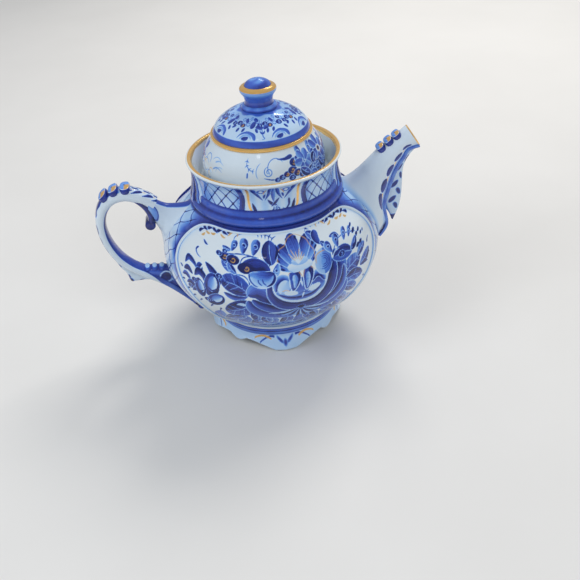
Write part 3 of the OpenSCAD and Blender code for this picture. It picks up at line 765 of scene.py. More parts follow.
def left_cluster(cv):
    """Dark leaves, pale cupped flowers and commas at the panel's left."""
    for pts, w, d, d2 in (([(-65, 12.4), (-61.5, 16.4), (-56.6, 14.6), (-55.2, 11.8)], 3.4, 0.6, 0.95),
                          ([(-55, 10.6), (-52.6, 14.6), (-50.2, 15.4)], 3.0, 0.95, 0.7),
                          ([(-47.4, 17.6), (-43.6, 14.2), (-39.6, 9.6), (-38.8, 6.0)], 4.6, 0.7, 0.97),
                          ([(-66.4, 8.6), (-62.4, 10.2), (-58.6, 7.6)], 3.2, 0.97, 0.8),
                          ([(-68.4, 4.6), (-64.6, 6.2), (-60.4, 3.0)], 3.0, 0.97, 0.6),
                          ([(-64.6, 0.6), (-60.4, 2.2), (-56.6, -1.4)], 3.4, 0.99, 0.7),
                          ([(-60.4, -3.6), (-56.4, -1.2), (-52.6, -4.8)], 3.2, 0.99, 0.7),
                          ([(-57, 7.6), (-53.4, 11.0), (-49.6, 9.0), (-49.4, 5.2)], 4.4, 0.7, 0.97)):
        petal(cv, pts, w, d, d2, shape="leaf", gap=0.25)
    for x, y, r, turn in ((-44.6, 4.4, 6.4, 70), (-53.4, 0.6, 4.8, 100), (-42.8, -5.2, 5.2, 30)):
        cv.disc(x, y, r, r * 0.82, turn, d=0.97, d2=0.8, gap=0.3)
        cv.disc(x + 0.7, y + 1.1, r * 0.66, r * 0.5, turn, d=0.05, d2=0.5)
        cv.stroke([(x - r * 0.5, y - r * 0.1), (x, y - r * 0.5), (x + r * 0.55, y - r * 0.15)], 1.1, 0.9)
    for x, y in ((-57.6, 4.6), (-49.0, -6.6), (-61.6, -1.0), (-38.6, 11.6)):
        cv.berry(x, y, 1.5, gold=False)
    for x, y, a, l in ((-66.8, 1.8, 200, 3), (-63, -3.2, 215, 3), (-58.6, -6.8, 225, 3.4),
                       (-50.6, 11.4, 80, 3), (-45.8, -10.6, 240, 4),
                       (-53.6, -8.6, 235, 3.6), (-40, -12, 255, 4), (-68, 9, 160, 2.6)):
        cv.stroke(ray(x, y, a, (0, l * 0.5, l), 0.3), 1.3, 0.97, shape="comma", streaks=0.1)
    cv.stroke([(-48.0, 29.8), (-46.6, 28.2), (-44.8, 27.4)], 1.3, 0.9)
    cv.stroke([(-52.2, 24.6), (-54.4, 22.8), (-53.6, 20.4), (-50.6, 18.8)], 1.0, 0.85, shape="comma")


def berries_and_buds(cv):
    """The spray of berries, curled buds and the long dark pod at the upper left."""
    cv.line([(-36, 25.8), (-30, 25.4), (-24, 25.9), (-18, 25.2), (-11.5, 22.4)], 0.5, 0.9)
    cv.leaf((-29.0, 27.6), (-34.2, 29.2), 2.8, 0.4, veins=0)
    cv.bud(-27.0, 30.2, 6.4, 4.6, 60)
    cv.bud(-21.0, 30.2, 8.2, 6.4, 75)
    cv.bud(-14.4, 29.6, 8.6, 6.4, 68)
    cv.line([(-26.4, 33.6), (-24.8, 36.2), (-19.6, 38.4), (-12.6, 38.8)], 0.4, 0.8)
    cv.ticks([(-13.0, 38.9), (-8.6, 38.0), (-5.0, 36.4), (-3.0, 34.6)], 5, 2.6, 75)
    cv.leaf((-6.2, 20.0), (-5.6, 33.6), 8.8, 0.5, dark=0.62, pale=0.93, veins=0, gap=0.4)
    cv.stroke([(-2.6, 31.4), (-1.9, 27.2), (-3.9, 22.2)], 1.5, 1.0, streaks=0)
    cv.line([(-6.4, 20.2), (-8.0, 18.6), (-8.4, 16.2), (-7.4, 14.6)], 0.5, 0.9)
    cv.bud(-3.4, 17.0, 6.4, 5.0, 250, dark=0.6, pale=0.25)
    cv.line([(-24.6, 19.8), (-22.4, 23.4), (-18.4, 24.8), (-14.0, 24.0), (-10.4, 20.6)], 0.5, 0.85)
    petal(cv, [(-24.2, 17.6), (-21.2, 18.8), (-16.4, 19.6), (-11.8, 18.6), (-7.6, 15.8)], 8.6, 0.97, 0.78,
          shape="leaf")
    cv.disc(-21.4, 18.0, 3.4, 3.2, 0, d=1.0, d2=0.95)
    cv.spiral(-20.6, 17.8, 1.6, 1.2, 0.42, start=200, gold=0.9)
    petal(cv, [(-19.0, 13.2), (-14.6, 11.4), (-9.6, 11.6), (-6.2, 13.6)], 9.8, 0.12, 0.72, shape="bowl",
          ends=(0.45, 1.35), streaks=0.4)
    cv.stroke([(-5.8, 15.4), (-5.2, 12.2), (-7.2, 8.8), (-10.6, 7.2)], 1.5, 0.95)
    cv.line([(-19.8, 15.2), (-19.6, 11.4), (-17.6, 8.4), (-15.4, 7.2)], 0.55, 0.95)
    for x in (-14.6, -12.0):
        cv.line([(x - 0.4, 11.8), (x, 9.6), (x + 1.6, 8.0)], 0.5, 0.92)
    cv.leaf((-30.0, 15.4), (-35.4, 20.8), 5.6, -0.6, dark=0.75, pale=0.6, veins=1)
    cv.leaf((-27.6, 14.4), (-31.6, 20.4), 4.0, 0.6, dark=0.9, pale=0.4, veins=1)
    cv.berry(-33.4, 23.4, 2.5)
    cv.berry(-28.4, 22.2, 2.8)
    cv.berry(-37.0, 24.8, 1.4, gold=False)
    cv.berry(-33.0, 26.6, 1.1, gold=False)


def leaves(cv):
    """The broad veined leaves round the rose."""
    petal(cv, [(-36.6, 2.2), (-33.0, 0.2), (-27.4, -0.6), (-21.8, 1.2)], 4.4, 0.5, 0.98, shape="leaf")
    cv.stroke([(-36.0, 4.4), (-30.4, 2.0), (-24.4, 2.6)], 2.0, 0.10, streaks=0.2)
    cv.leaf((-21.6, 3.4), (-37.2, 9.4), 12.5, -1.6, dark=0.62, pale=0.88, veins=6)
    cv.line([(-20.8, 4.6), (-20.2, 9.6), (-22.6, 13.2), (-27.2, 14.2)], 0.5, 0.9)
    cv.leaf((-20.0, -4.8), (-35.6, -13.4), 15.0, 1.2, dark=0.9, pale=0.55, veins=6)
    cv.stroke([(-22.0, -6.4), (-26.2, -5.2), (-29.6, -5.8)], 2.2, 0.12, streaks=0.5)
    cv.leaf((-19.8, -9.0), (-17.2, -24.6), 8.4, 1.4, dark=0.9, pale=0.3, veins=4)
    cv.leaf((-24.4, -18.6), (-36.6, -25.6), 6.4, -1.0, dark=0.9, pale=0.45, veins=3)
    cv.leaf((-12.0, -15.6), (-9.8, -27.0), 6.8, -1.0, dark=0.88, pale=0.35, veins=3)
    cv.leaf((1.0, -17.6), (-2.4, -29.6), 8.0, 1.0, dark=0.96, pale=0.5, veins=4)
    cv.leaf((12.6, -17.6), (17.6, -29.4), 8.0, -1.0, dark=0.6, pale=0.95, veins=4)
    cv.leaf((22.6, -14.8), (29.4, -25.8), 7.4, -0.8, dark=0.5, pale=0.93, veins=4)
    cv.leaf((31.6, -9.8), (40.0, -20.0), 7.6, 0.8, dark=0.88, pale=0.4, veins=4)
    # right cluster
    cv.leaf((37.4, 2.6), (52.8, 7.6), 10.6, 0.8, dark=0.85, pale=0.45, veins=6)
    cv.leaf((38.6, -1.6), (54.6, -4.4), 8.8, 1.2, dark=0.5, pale=0.88, veins=5)
    cv.leaf((37.8, -5.6), (48.6, -14.6), 8.2, 1.0, dark=0.9, pale=0.5, veins=4)
    cv.leaf((52.6, 2.2), (64.6, 7.6), 6.4, -0.8, dark=0.93, pale=0.5, veins=3)
    cv.leaf((51.0, 8.6), (60.2, 12.6), 5.0, 0.6, dark=0.9, pale=0.4, veins=2)
    for x, y, a in ((58, 1, -8), (61.5, 3.6, 20), (56, -8, -40), (63.5, 11, 35)):
        cv.stroke(ray(x, y, a, (0, 2, 4), 0.3), 1.4, 0.9, shape="comma")


def right_spray(cv):
    """Buds, a striped pale bud and the sprig of curls at the upper right."""
    cv.leaf((21.4, 28.6), (16.2, 35.2), 4.2, -0.8, dark=0.85, pale=0.5, veins=0)
    petal(cv, [(24.4, 25.6), (22.0, 29.4), (21.2, 33.8)], 5.6, 0.6, 0.86, shape="petal")
    cv.ticks([(15.6, 35.4), (17.6, 38.2), (22.6, 39.2), (27.4, 38.6)], 4, 2.2, 80)
    cv.disc(24.8, 15.8, 5.0, 5.6, 90, d=0.5, d2=0.18, gap=0.35)
    for r in (4.2, 3.0, 1.8):
        cv.ring(25.4 - 0.2 * r, 15.6, r, 0.45, 0.8, a0=-120, a1=110)
    cv.line([(19.8, 15.4), (20.4, 19.8), (23.6, 21.4), (26.6, 21.2)], 0.5, gold=0.85)
    cv.line([(27.4, 10.8), (31.0, 15.4), (33.4, 20.4), (37.6, 24.2), (44.4, 24.4), (53.6, 21.6)], 0.5, 0.85)
    cv.leaf((29.8, 23.4), (24.4, 27.0), 2.8, 0.8, veins=0, dark=0.95, pale=0.7)
    cv.bud(29.4, 21.6, 6.6, 5.4, 120, dark=0.8, pale=0.3)
    cv.leaf((38.2, 25.0), (31.0, 27.4), 2.8, -1.0, veins=0, dark=0.95, pale=0.7)
    cv.bud(35.4, 23.2, 6.6, 5.6, 100, dark=0.85, pale=0.35)
    cv.bud(42.2, 24.6, 6.0, 5.0, 80, dark=0.85, pale=0.35)
    cv.bud(47.2, 23.8, 4.8, 4.0, 60, dark=0.9, pale=0.4)
    for x, y, r in ((51.6, 22.8, 1.1), (53.8, 19.8, 1.0), (57.0, 21.0, 0.85), (58.8, 18.6, 0.75),
                    (61.6, 18.8, 0.6), (50.4, 26.4, 0.8)):
        cv.disc(x, y, r * 1.3, r, 30, d=0.97)
    cv.leaf((46.6, 13.6), (31.4, 15.2), 8.6, -1.2, dark=0.85, pale=0.6, veins=0)
    cv.ring(38.2, 15.2, 2.2, 0.5, 0.02, a0=0, a1=300)
    cv.berry(38.2, 15.2, 1.7, gold=False)
    cv.stroke([(31.0, 14.6), (33.0, 18.0), (37.4, 19.0)], 0.6, 0.05, shape="line", streaks=0)
    cv.leaf((46.2, 14.4), (52.6, 19.4), 4.4, -0.6, dark=0.95, pale=0.5, veins=1)
    for x, y in ((49.4, 15.4), (53.0, 14.0), (56.4, 14.6)):
        cv.disc(x, y, 1.5, 1.0, 20, d=0.95)


def base_field(cv):
    """Overlapping strokes that close the composition above the foot."""
    for k in range(11):
        x = -40 + k * 8.0
        y = -22 - 3.0 * math.cos(x / 24)
        lean = x / 46
        cv.stroke([(x, y + 6), (x + lean * 1.6, y), (x + lean * 4.4, y - 10)], 9.0, 0.86 if k % 2 else 0.6,
                  0.45, gap=0.4, streaks=0.3)
    for k in range(12):
        x = -42 + k * 7.4
        y = -33 - 3.2 * math.cos(x / 26)
        lean = x / 46
        cv.stroke([(x, y + 7), (x + lean * 1.2, y), (x + lean * 3.6, y - 10)], 8.4, 0.94 if k % 2 else 0.66,
                  0.45, gap=0.4, streaks=0.25)
    for k in range(13):
        x = -38 + k * 6.3
        cv.stroke([(x, -38.5), (x * 0.96, -43), (x * 0.93, -48)], 5.6, 0.84 if k % 2 else 0.5, streaks=0.2,
                  gap=0.25)


def front_chart(flip):
    """The whole panel in its own chart: x along the latitude, y along the meridian."""
    cv = Canvas(-84, 84, -60, 46)
    X, Y = np.meshgrid(cv.xs, cv.ys)
    inside = signed_distance(panel_chart(), X, Y)
    cv.c[:] = 0.52 * step01((-19 - Y - 0.006 * X**2) / 9) * (1 + 0.2 * np.sin(X * 0.55) * np.sin(Y * 0.4))
    base_field(cv)
    leaves(cv)
    left_cluster(cv)
    rose(cv)
    fan_bloom(cv)
    berries_and_buds(cv)
    right_spray(cv)
    garland(cv, 1)
    garland(cv, -1)
    cv.c = np.clip(cv.c * 1.08, 0, 1) * step01(inside / 1.2)
    cv.g *= step01(inside / 1.2)
    cv.inside = inside
    if flip:
        cv.c, cv.g, cv.inside = cv.c[:, ::-1].copy(), cv.g[:, ::-1].copy(), inside[:, ::-1].copy()
    return cv


def lattice(x, y, pitch, w):
    """Crossing lines with a small four-stroke star at each crossing; x and y in millimetres."""
    u, v = (x + y) / pitch, (x - y) / pitch
    du, dv = np.abs(u - np.round(u)) * pitch / math.sqrt(2), np.abs(v - np.round(v)) * pitch / math.sqrt(2)
    near_line = np.minimum(du, dv)
    lines = step01((w / 2 - near_line) / 0.22 + 0.5)
    knot = np.maximum(du, dv)
    arm = (np.minimum(du, dv) < 0.5 * (1 - knot / 2.6)) & (knot < 2.0)
    dot = step01((0.7 - np.hypot(du, dv)) / 0.25 + 0.5)
    return np.maximum(lines * 0.9, np.maximum(arm * 0.98, dot))


FRONT, BACK = front_chart(False), front_chart(True)


def paint_body(A, R, Z):
    """Cobalt and gold of the belly's outside."""
    y = np.interp(Z, BODY[:, 1], BODY_S)
    facing = np.where(np.abs(A) <= 90, 0.0, 180.0)
    rel = (A - facing + 180) % 360 - 180
    x = np.radians(rel) * R
    cf, gf = FRONT.at(x, y)
    cb, gb = BACK.at(x, y)
    front = facing == 0
    c, g = np.where(front, cf, cb), np.where(front, gf, gb)
    keep_c, keep_g = FRONT.c, FRONT.g
    FRONT.c, FRONT.g = FRONT.inside, BACK.inside
    df, db = FRONT.at(x, y)
    FRONT.c, FRONT.g = keep_c, keep_g
    d = np.where(front, df, db)
    out = np.clip(-d, 0, None)
    # beside the ridge the cobalt is dense and fades outward
    shade = np.where(d < 0, 0.9 * np.exp(-((out / (6.2 + 1.1 * np.sin(y * 0.5))) ** 1.9)), 0)
    # painted shade: a thin pale-blue band just inside the ridge, where the ridge meets the belly
    inner = np.where(d > 0, 0.3 * np.exp(-d / 0.9), 0)
    side = (A - 90) % 180 - 90
    side = np.where(side > 90, side - 180, side)
    from_side = np.radians((A % 180) - 90) * R
    net = lattice(from_side + 0.5 * np.sin(y * 0.7), y - 3 + 0.4 * np.sin(from_side * 0.9), 12.5,
                  0.62) * step01((out - 2.0) / 2.0)
    net = net * np.where(Z > 30, 1, 0)
    wash = (0.06 + 0.08 * step01((y - 10) / 30)) * (out > 0)
    c = np.maximum(np.maximum(c, inner), np.where(d < 0, np.maximum(shade, np.maximum(net, wash)), 0))
    top = step01((Z - 93.0) / 1.5)
    c = np.maximum(c, 0.9 * top)
    foot = np.where(np.abs(Z - 19.4) < 0.35, 0.95, 0.68 + 0.08 * np.sin(np.radians(A) * 5 + Z))
    c = np.where(Z < 21.2, foot, c)
    return c, g * (Z > 22)


def build_body():
    """The belly with its floor, painted outside."""
    outer = even(BODY, FINE)
    wall = inset(smooth(BODY[::12], 4), WALL)
    keep = (wall[:, 1] > 16) & (wall[:, 1] < 96.2)
    inner = even(wall[keep][::-1], 1.0)
    line = np.vstack([[(0.6, 12)], even(np.array([(1.0, 12), (39.0, 12)]), 1.5), [(39.7, 12.3), (40, 13.2)],
                      outer,
                      [(inner[0, 0], 96.5)], inner, even(np.array([(33, 15.0), (1.0, 15.0)]), 1.5),
                      [(0.6, 15)]])
    n_out = len(outer)
    start = int(np.argmin(np.abs(line - outer[0]).sum(1)))
    rings, az = turned_rings(line, 1080)
    A, Z = np.meshgrid(az, line[:, 1])
    R = np.broadcast_to(line[:, :1], A.shape)
    c, g = np.zeros(A.shape), np.zeros(A.shape)
    rows = slice(start, start + n_out)
    c[rows], g[rows] = paint_body(A[rows], R[rows], Z[rows])
    co, quads, tris = skin(rings, closed=False)
    c, g = np.r_[c.ravel(), 0, 0], np.r_[g.ravel(), 0, 0]
    me = mesh_from("teapot_body", co, quads, tris, (c, g))
    cut_strainer(me)
    return piece(me, ["body_bowl", "body_shoulder"], "pot", "porcelain")


def cut_strainer(me):
    """Opens the strainer holes behind the spout and walls each of them."""
    places = [(0, 66 + 8 * i) for i in range(4)] + [(s * 6.5, 70 + 8 * i) for s in (-1, 1) for i in range(3)]
    bm = bmesh.new()
    bm.from_mesh(me)
    near = [f for f in bm.faces if f.verts[0].co.x > 0.04 and abs(f.verts[0].co.y) < 0.012 and
            0.06 < f.verts[0].co.z < 0.095]
    for y, z in places:
        def off(p):
            return math.hypot(p.y / MM - y, p.z / MM - z)

        def round_off(v):
            k = HOLE_R / max(off(v.co), 1e-6)
            v.co.y, v.co.z = (y + (v.co.y / MM - y) * k) * MM, (z + (v.co.z / MM - z) * k) * MM
        walled_hole(bm, [f for f in near if f.is_valid and off(f.calc_center_median()) < HOLE_R], round_off)
    bm.to_mesh(me)
    bm.free()
    me.shade_smooth()


# ---- neck -----------------------------------------------------------------------------

NECK = smooth([(43.4, 96.5), (42.8, 102.5), (42.2, 108), (42.8, 113), (44.6, 117.8), (47, 121)], 8)


def neck_chart():
    """The neck's outside over its whole turn."""
    k = NECK_PITCH
    cv = Canvas(-180 * k, 180 * k, 0, 26, wrap=True)
    X, Y = np.meshgrid(cv.xs, cv.ys)
    rel = np.abs((X / k + 90) % 180 - 90)
    cv.c[:] = np.where(rel < 20, 0.13 + 0.05 * np.sin(X * 0.9),
                       0.12 + 0.4 * np.exp(-(((rel - 24) / 5) ** 2)) + 0.3 * np.exp(-((rel - 64) / 10) ** 2))
    net = lattice(X + 0.0 * Y, Y - 2, 8.2, 0.6)
    cv.c[:] = np.where(rel > 25.5, np.maximum(cv.c, net * np.where(rel < 66, 1, 0.4)), cv.c)
    for cx in (0, 180 * k, -180 * k):
        for s in (-1, 1):
            def at(pts):
                return [(cx + s * x, y) for x, y in pts]
            # the bar that bounds the panel: cobalt outside, white, gold, cobalt inside
            cv.stroke(at([(20.5, 3.2), (19.0, 9), (18.4, 15), (19.4, 20), (21.0, 25)]), 3.4, 0.95, 0.8,
                      shape="even", gap=0.2)
            cv.stroke(at([(16.4, 4.2), (15.8, 9), (15.4, 15), (15.8, 20), (16.6, 25)]), 2.4, 0.06,
                      shape="even", streaks=0.1)
            cv.stroke(at([(12.4, 5.6), (14.2, 9.0), (14.6, 13.6), (14.4, 18.6), (15.0, 23.6)]), 1.5,
                      gold=0.95, shape="line")
            cv.stroke(at([(9.6, 4.8), (11.4, 8.2), (12.6, 11.6)]), 1.9, 1.0, gap=0.2)
            # strokes in a triangle that hangs from the rim
            cv.stroke(at([(12.0, 21.6), (9.4, 17.2), (6.0, 12.8)]), 2.7, 0.95, 0.6, shape="comma", gap=0.2)
            cv.stroke(at([(1.6, 21.6), (2.8, 17.0), (5.2, 12.8)]), 2.5, 0.9, 0.55, shape="comma", gap=0.2)
            cv.stroke(at([(11.4, 23.0), (6.8, 23.8), (2.2, 22.8)]), 2.2, 0.92, 0.7, gap=0.15)
            cv.disc(cx + s * 7.0, 19.2, 1.9, 1.5, d=0.6, gap=0.25)
            cv.disc(cx + s * 7.0, 19.2, 0.8, d=0.02, gap=0.0)
            cv.stroke(at([(4.6, 17.2), (5.4, 15.6), (5.6, 14.2)]), 1.2, 0.85)
            cv.stroke(at([(3.6, 20.6), (5.2, 18.6), (5.8, 16.8)]), 0.5, gold=0.85, shape="line")
        cv.stroke([(cx, 22.4), (cx - 0.2, 17.0), (cx, 11.6)], 2.6, 0.75, 0.35, gap=0.2)
        cv.stroke([(cx - 3.6, 13.4), (cx - 1.0, 10.6), (cx + 1.8, 9.8)], 1.8, 0.95, gap=0.15)
        cv.stroke([(cx + 3.4, 14.0), (cx + 0.8, 11.2), (cx - 1.6, 9.2)], 1.5, 0.9, gap=0.15)
        cv.spiral(cx + 2.2, 7.6, 1.5, 1.5, 0.42, 0.9)
        cv.stroke([(cx - 1.8, 6.4), (cx - 0.4, 7.6), (cx - 0.2, 9.4)], 0.9, 0.9, shape="comma")
        cv.stroke([(cx + 9.0, 12.6), (cx + 8.8, 9.0), (cx + 6.4, 6.8), (cx + 4.8, 8.0)], 1.4, 0.95,
                  shape="comma")
    return cv


def build_neck():
    """The neck with its rim and the ledge of the lid, and the double roll under it."""
    cv = neck_chart()
    outer = even(NECK, FINE * 0.85)
    rim = smooth([(47, 121), (46.9, 121.5), (46.3, 121.9), (45.5, 122), (44.5, 121.9), (43.9, 121.4)], 4)
    inner = even(smooth([(43.9, 121.4), (41.2, 114.5), (39.6, 108)], 6), 0.4)
    rest = even(np.array([(39.6, 108), (33.5, 108), (33.5, 105.5), (38, 101), (39.6, 96.5), (43.3, 96.5)]),
                0.9)
    line = np.vstack([outer, rim[1:], inner[1:], rest[1:]])
    s_out = lengths(outer)[-1]

    def paint(A, S, R, Z):
        c, g = cv.at(A * NECK_PITCH, np.clip(S * 23.4 / s_out, 0, 25.9))
        c = np.where(S < s_out, c, 0)
        g = np.where(S < s_out, g, 0)
        edge = S - s_out
        c = np.where(edge > -1.7, 0.02, c)
        c = np.maximum(c, 0.45 * step01((edge + 2.1) / 0.3) * step01((-1.5 - edge) / 0.3))
        wobble = 0.25 * np.sin(np.radians(A) * 7 + 1) + 0.2 * np.sin(np.radians(A) * 17)
        g = np.where(edge > -1.7, 0, g)
        g = np.maximum(g, 0.95 * step01((edge - 1.3) / 0.25) * step01((5.4 + wobble - edge) / 0.4))
        c = np.where(edge > 0, 0, c)
        return c, g

    turned_piece("teapot_neck", line, 900, paint, ["neck_collar"], "pot", "porcelain")

    # the double roll at the shoulder
    up = even(smooth([(43.0, 104.4), (43.5, 103.2), (44.0, 101.4), (45.2, 99.9)], 6), 0.3)
    roll = np.array([(44.4 + 2.9 * math.cos(a), 97.2 + 2.9 * math.sin(a))
                     for a in np.radians(np.arange(68, -76, -5))])
    line = np.vstack([[(41.9, 104.4)], up, roll, [(44.9, 94.5), (43.2, 94.6), (42.4, 96.8), (42.0, 100)]])

    def roll_paint(A, S, R, Z):
        band = (0.66 + 0.26 * np.exp(-(((Z - 100.3) / 0.7) ** 2)) + 0.2 * step01((95.6 - Z) / 0.8) +
                0.16 * step01((Z - 103.2) / 0.8))
        return band + 0.05 * np.sin(np.radians(A) * 3 + 0.5 * Z), 0 * A

    turned_piece("neck_double_roll", line, 720, roll_paint, ["neck_moulding"], "pot", "cobalt")


def build_neck_leaf(name, node, facing):
    """A fluted leaf that drapes over the neck, with a white edge; the white edge and the paler flute crests are
    painted highlights.
    """
    sections = smooth([(96.9, 44.5, 3.2, 22), (99.5, 43.4, 4.2, 18.5), (103, 42.6, 4, 15.5),
                       (108, 42, 3.6, 13.5),
                       (113, 42.6, 2.8, 11.5), (117.5, 44.2, 1.8, 9.5)], 10)
    f = np.linspace(-1, 1, 161)
    rings, cobalt = [], []
    for k, (z, r0, out, half) in enumerate(sections):
        t = k / (len(sections) - 1)
        lobe = 1 + 0.045 * np.cos(t * 26)
        flute = 0.80 + 0.20 * np.abs(np.cos(np.pi / 2 * 5 * f))
        r = r0 - 0.4 + out * np.sqrt(1 - 0.96 * f * f) * flute
        a = facing + f * half * lobe / r0
        front = np.stack([r * np.cos(a), r * np.sin(a), 0 * a + z], 1)
        fb = f[::-8]
        ab = facing + fb * half * lobe / r0
        back = np.stack([(r0 - 0.8) * np.cos(ab), (r0 - 0.8) * np.sin(ab), 0 * ab + z], 1)
        rings.append(np.vstack([front, back]))
        # painted highlights: paler toward each flute crest, a pale line along each crest, and near-white rims
        crest_highlight = np.abs(np.cos(np.pi / 2 * 5 * f))
        c = 0.98 - 0.28 * crest_highlight**3 + 0.1 * np.sin(f * 40 + t * 5) * 0.4
        c = np.where(np.abs(f) > 0.9, 0.1, c)
        c = np.where(crest_highlight > 0.93, 0.35 + 0.3 * t, c)
        cobalt.append(np.r_[c, np.full(len(fb), 0.5)])
    co, quads, tris = skin(np.array(rings))
    cobalt = np.r_[np.concatenate(cobalt), 0.6, 0.6]
    piece(mesh_from(name, co, quads, tris, (cobalt, 0 * cobalt)), [node], "pot", "cobalt")


# ---- panel ridges ---------------------------------------------------------------------


def build_ridge(name, node, facing):
    """The raised edge of one painted panel."""
    line = smooth(PANEL[::4], 14, closed=True)
    r = body_radius(line[:, 1])
    a = np.radians(facing + line[:, 0])
    path = np.stack([r * np.cos(a), r * np.sin(a), line[:, 1]], 1)
    tan = np.roll(path, -1, 0) - np.roll(path, 1, 0)
    tan /= np.linalg.norm(tan, axis=1)[:, None]
    out = path * (1, 1, 0.3) - (0, 0, 0.3 * 62)
    out -= (out * tan).sum(1)[:, None] * tan
    out /= np.linalg.norm(out, axis=1)[:, None]
    across = np.cross(tan, out)
    t = np.radians(np.arange(0, 360, 18))
    rad = 1.12
    rings = path[:, None] + rad * (np.cos(t)[None, :, None] * out[:, None] * 0.92 + np.sin(t)[None, :, None] *
                                   across[:, None] * 1.15)
    co, quads, tris = skin(rings, closed=True)
    # white on top, a thin cobalt line where the ridge meets the painted ground outside it, and painted shade in pale
    # blue on its inner side
    inward = np.sin(t)[None, :] * np.ones((len(path), 1))
    c = np.where(inward < -0.45, 0.9, np.where(inward > 0.85, 0.3, 0.03))
    piece(mesh_from(name, co, quads, tris, (c.ravel(), 0 * c.ravel())), [node], "pot", "porcelain")


# ---- foot -----------------------------------------------------------------------------


def from_foot(a):
    """Degrees from the middle of the nearest foot."""
    return np.abs((a + 45) % 90 - 45)


def build_foot():
    """The rolls above the foot, the scalloped skirt and the pads it stands on."""
    band = even(smooth([(39.8, 12.2), (41, 12.8), (41.4, 13.8), (41.1, 14.9), (41.8, 15.6), (42.3, 16.6),
                        (42.2, 17.6), (41.5, 18.4)], 6), 0.3)
    line = np.vstack([band, [(40.9, 18.4), (40.2, 17.6), (39.6, 14.0), (39.4, 12.6)]])

    def paint(A, S, R, Z):
        c = np.where(np.abs(Z - 14.9) < 0.4, 0.92, np.where(Z > 14.9, 0.62 + 0.2 * step01((Z - 17.2) / 0.8),
                                                            0.5))
        return c * (1 + 0.05 * np.sin(np.radians(A) * 23)), 0 * A

    turned_piece("foot_rolls", line, 720, paint, ["foot_moulding"], "pot", "cobalt")

    a = np.arange(900) / 900 * 360
    f = from_foot(a)
    e = np.where(f < 9, 0.8, np.where(f < 36, 0.8 + 6.2 * np.sin(np.radians((f - 9) / 27 * 90)),
                                      7 - 3 * np.sin(np.radians((f - 36) / 9 * 90))))
    r = 44.2 - 2.2 * np.sin(np.radians(2 * np.minimum(f, 45)))
    rings, cob, gld = [], [], []
    for ai, ei, ri, fi in zip(a, e, r, f):
        prof = np.array([(36.2, 12), (36.9, 9), (ri - 3.6, ei + 0.15), (ri - 3.2, ei), (ri - 0.9, ei),
                         (ri - 0.3, ei + 0.25), (ri, ei + 0.9)])
        flank = smooth([(ri, ei + 0.9), (41.4 + 0.3 * math.cos(math.radians(4 * fi)), 9), (40.2, 11),
                        (39.8, 12)], 9)[1:]
        prof = np.vstack([prof, flank])
        rings.append(np.stack([prof[:, 0] * math.cos(math.radians(ai)),
                               prof[:, 0] * math.sin(math.radians(ai)), prof[:, 1]], 1))
        z, rr = prof[:, 1], prof[:, 0]
        x_mid = (((ai + 45) % 90) - 45) * 0.75
        c = 0.12 + 0 * z
        near_edge = (z - ei < 1.3) & (rr > ri - 1.5)
        c = np.where(near_edge, 0.10, c)
        # three-stroke flower above each large foot, swept strokes between them
        x = x_mid
        for sx, sz, w, lean in ((0, 6.4, 1.5, 0), (-3.2, 8.2, 1.5, 0.8), (3.2, 8.2, 1.5, -0.8)):
            c = np.maximum(c, 0.8 * np.clip(1.6 - np.hypot((x - sx + lean * (z - sz)) / w, (z - sz) / 2.9) *
                                            1.4, 0, 1))
        sweep = 10.6 - 0.11 * (np.abs(x) - 9) ** 2 * 0.6
        c = np.maximum(c, 0.8 * ((np.abs(x) > 7) & (np.abs(x) < 17) & (np.abs(z - sweep) < 0.5)))
        c = np.maximum(c, 0.7 * step01((z - 11.0) / 0.7))
        g = 0.9 * ((np.abs(x) > 9) & (np.abs(x) < 21) & (np.abs(z - 10.7 + 0.05 *
                                                                (np.abs(x) - 15) ** 2) < 0.55))
        inner = rr < ri - 3
        rings_mask = (np.arange(len(z)) < 4) | inner & (z < 8)
        c, g = np.where(rings_mask, 0.05, c), np.where(rings_mask, 0, g)
        cob.append(c)
        gld.append(g)
    co, quads, tris = skin(np.array(rings), closed=True)
    piece(mesh_from("foot_scallops", co, quads, tris, (np.concatenate(cob), np.concatenate(gld))),
          ["foot_skirt"], "pot", "pale_blue")

    for i in range(4):
        t = np.radians(np.arange(0, 360, 10))
        cx, cy = 41.1 * math.cos(math.pi / 2 * i), 41.1 * math.sin(math.pi / 2 * i)
        rings = []
        for rr, z in ((1.9, 0.0), (2.15, 0.12), (2.2, 0.4), (2.1, 0.8)):
            wave = rr * (1 + 0.02 * np.sin(3 * t + i))
            rings.append(np.stack([cx + wave * np.cos(t), cy + wave * np.sin(t), z + 0 * t], 1))
        co, quads, tris = skin(np.array(rings))
        zero = np.zeros(len(co))
        piece(mesh_from(f"rest_pad_{i + 1}", co, quads, tris, (zero, zero)), [f"foot_pad_{i + 1}"], "pot",
              "bisque")


# ---- swept pieces ---------------------------------------------------------------------


def oval(s, t, power=1.0, inn=0.0):
    """One ring between two edges [x, z], [x, z] of width s[4]; power under 1 squares it off."""
    a, b = np.array([s[0], s[1]]), np.array([s[2], s[3]])
    c, half = (a + b) / 2, (a - b) / 2
    k = 1 - inn / np.linalg.norm(half)
    ct, st = np.cos(t), np.sin(t)
    ct, st = np.sign(ct) * np.abs(ct) ** power, np.sign(st) * np.abs(st) ** power
    return np.stack([c[0] + half[0] * k * ct, (s[4] / 2 - inn) * st, c[1] + half[1] * k * ct], 1)


def wall_ring(side, first, z, half_h, half_w, t, off):
    """A ring on the body's surface, `off` outside it."""
    y = half_w * np.sin(t)
    h = z + first * half_h * np.cos(t)
    x = side * (np.sqrt(np.maximum(body_radius(h) ** 2 - y * y, 1)) + off)
    return np.stack([x, y, h], 1)


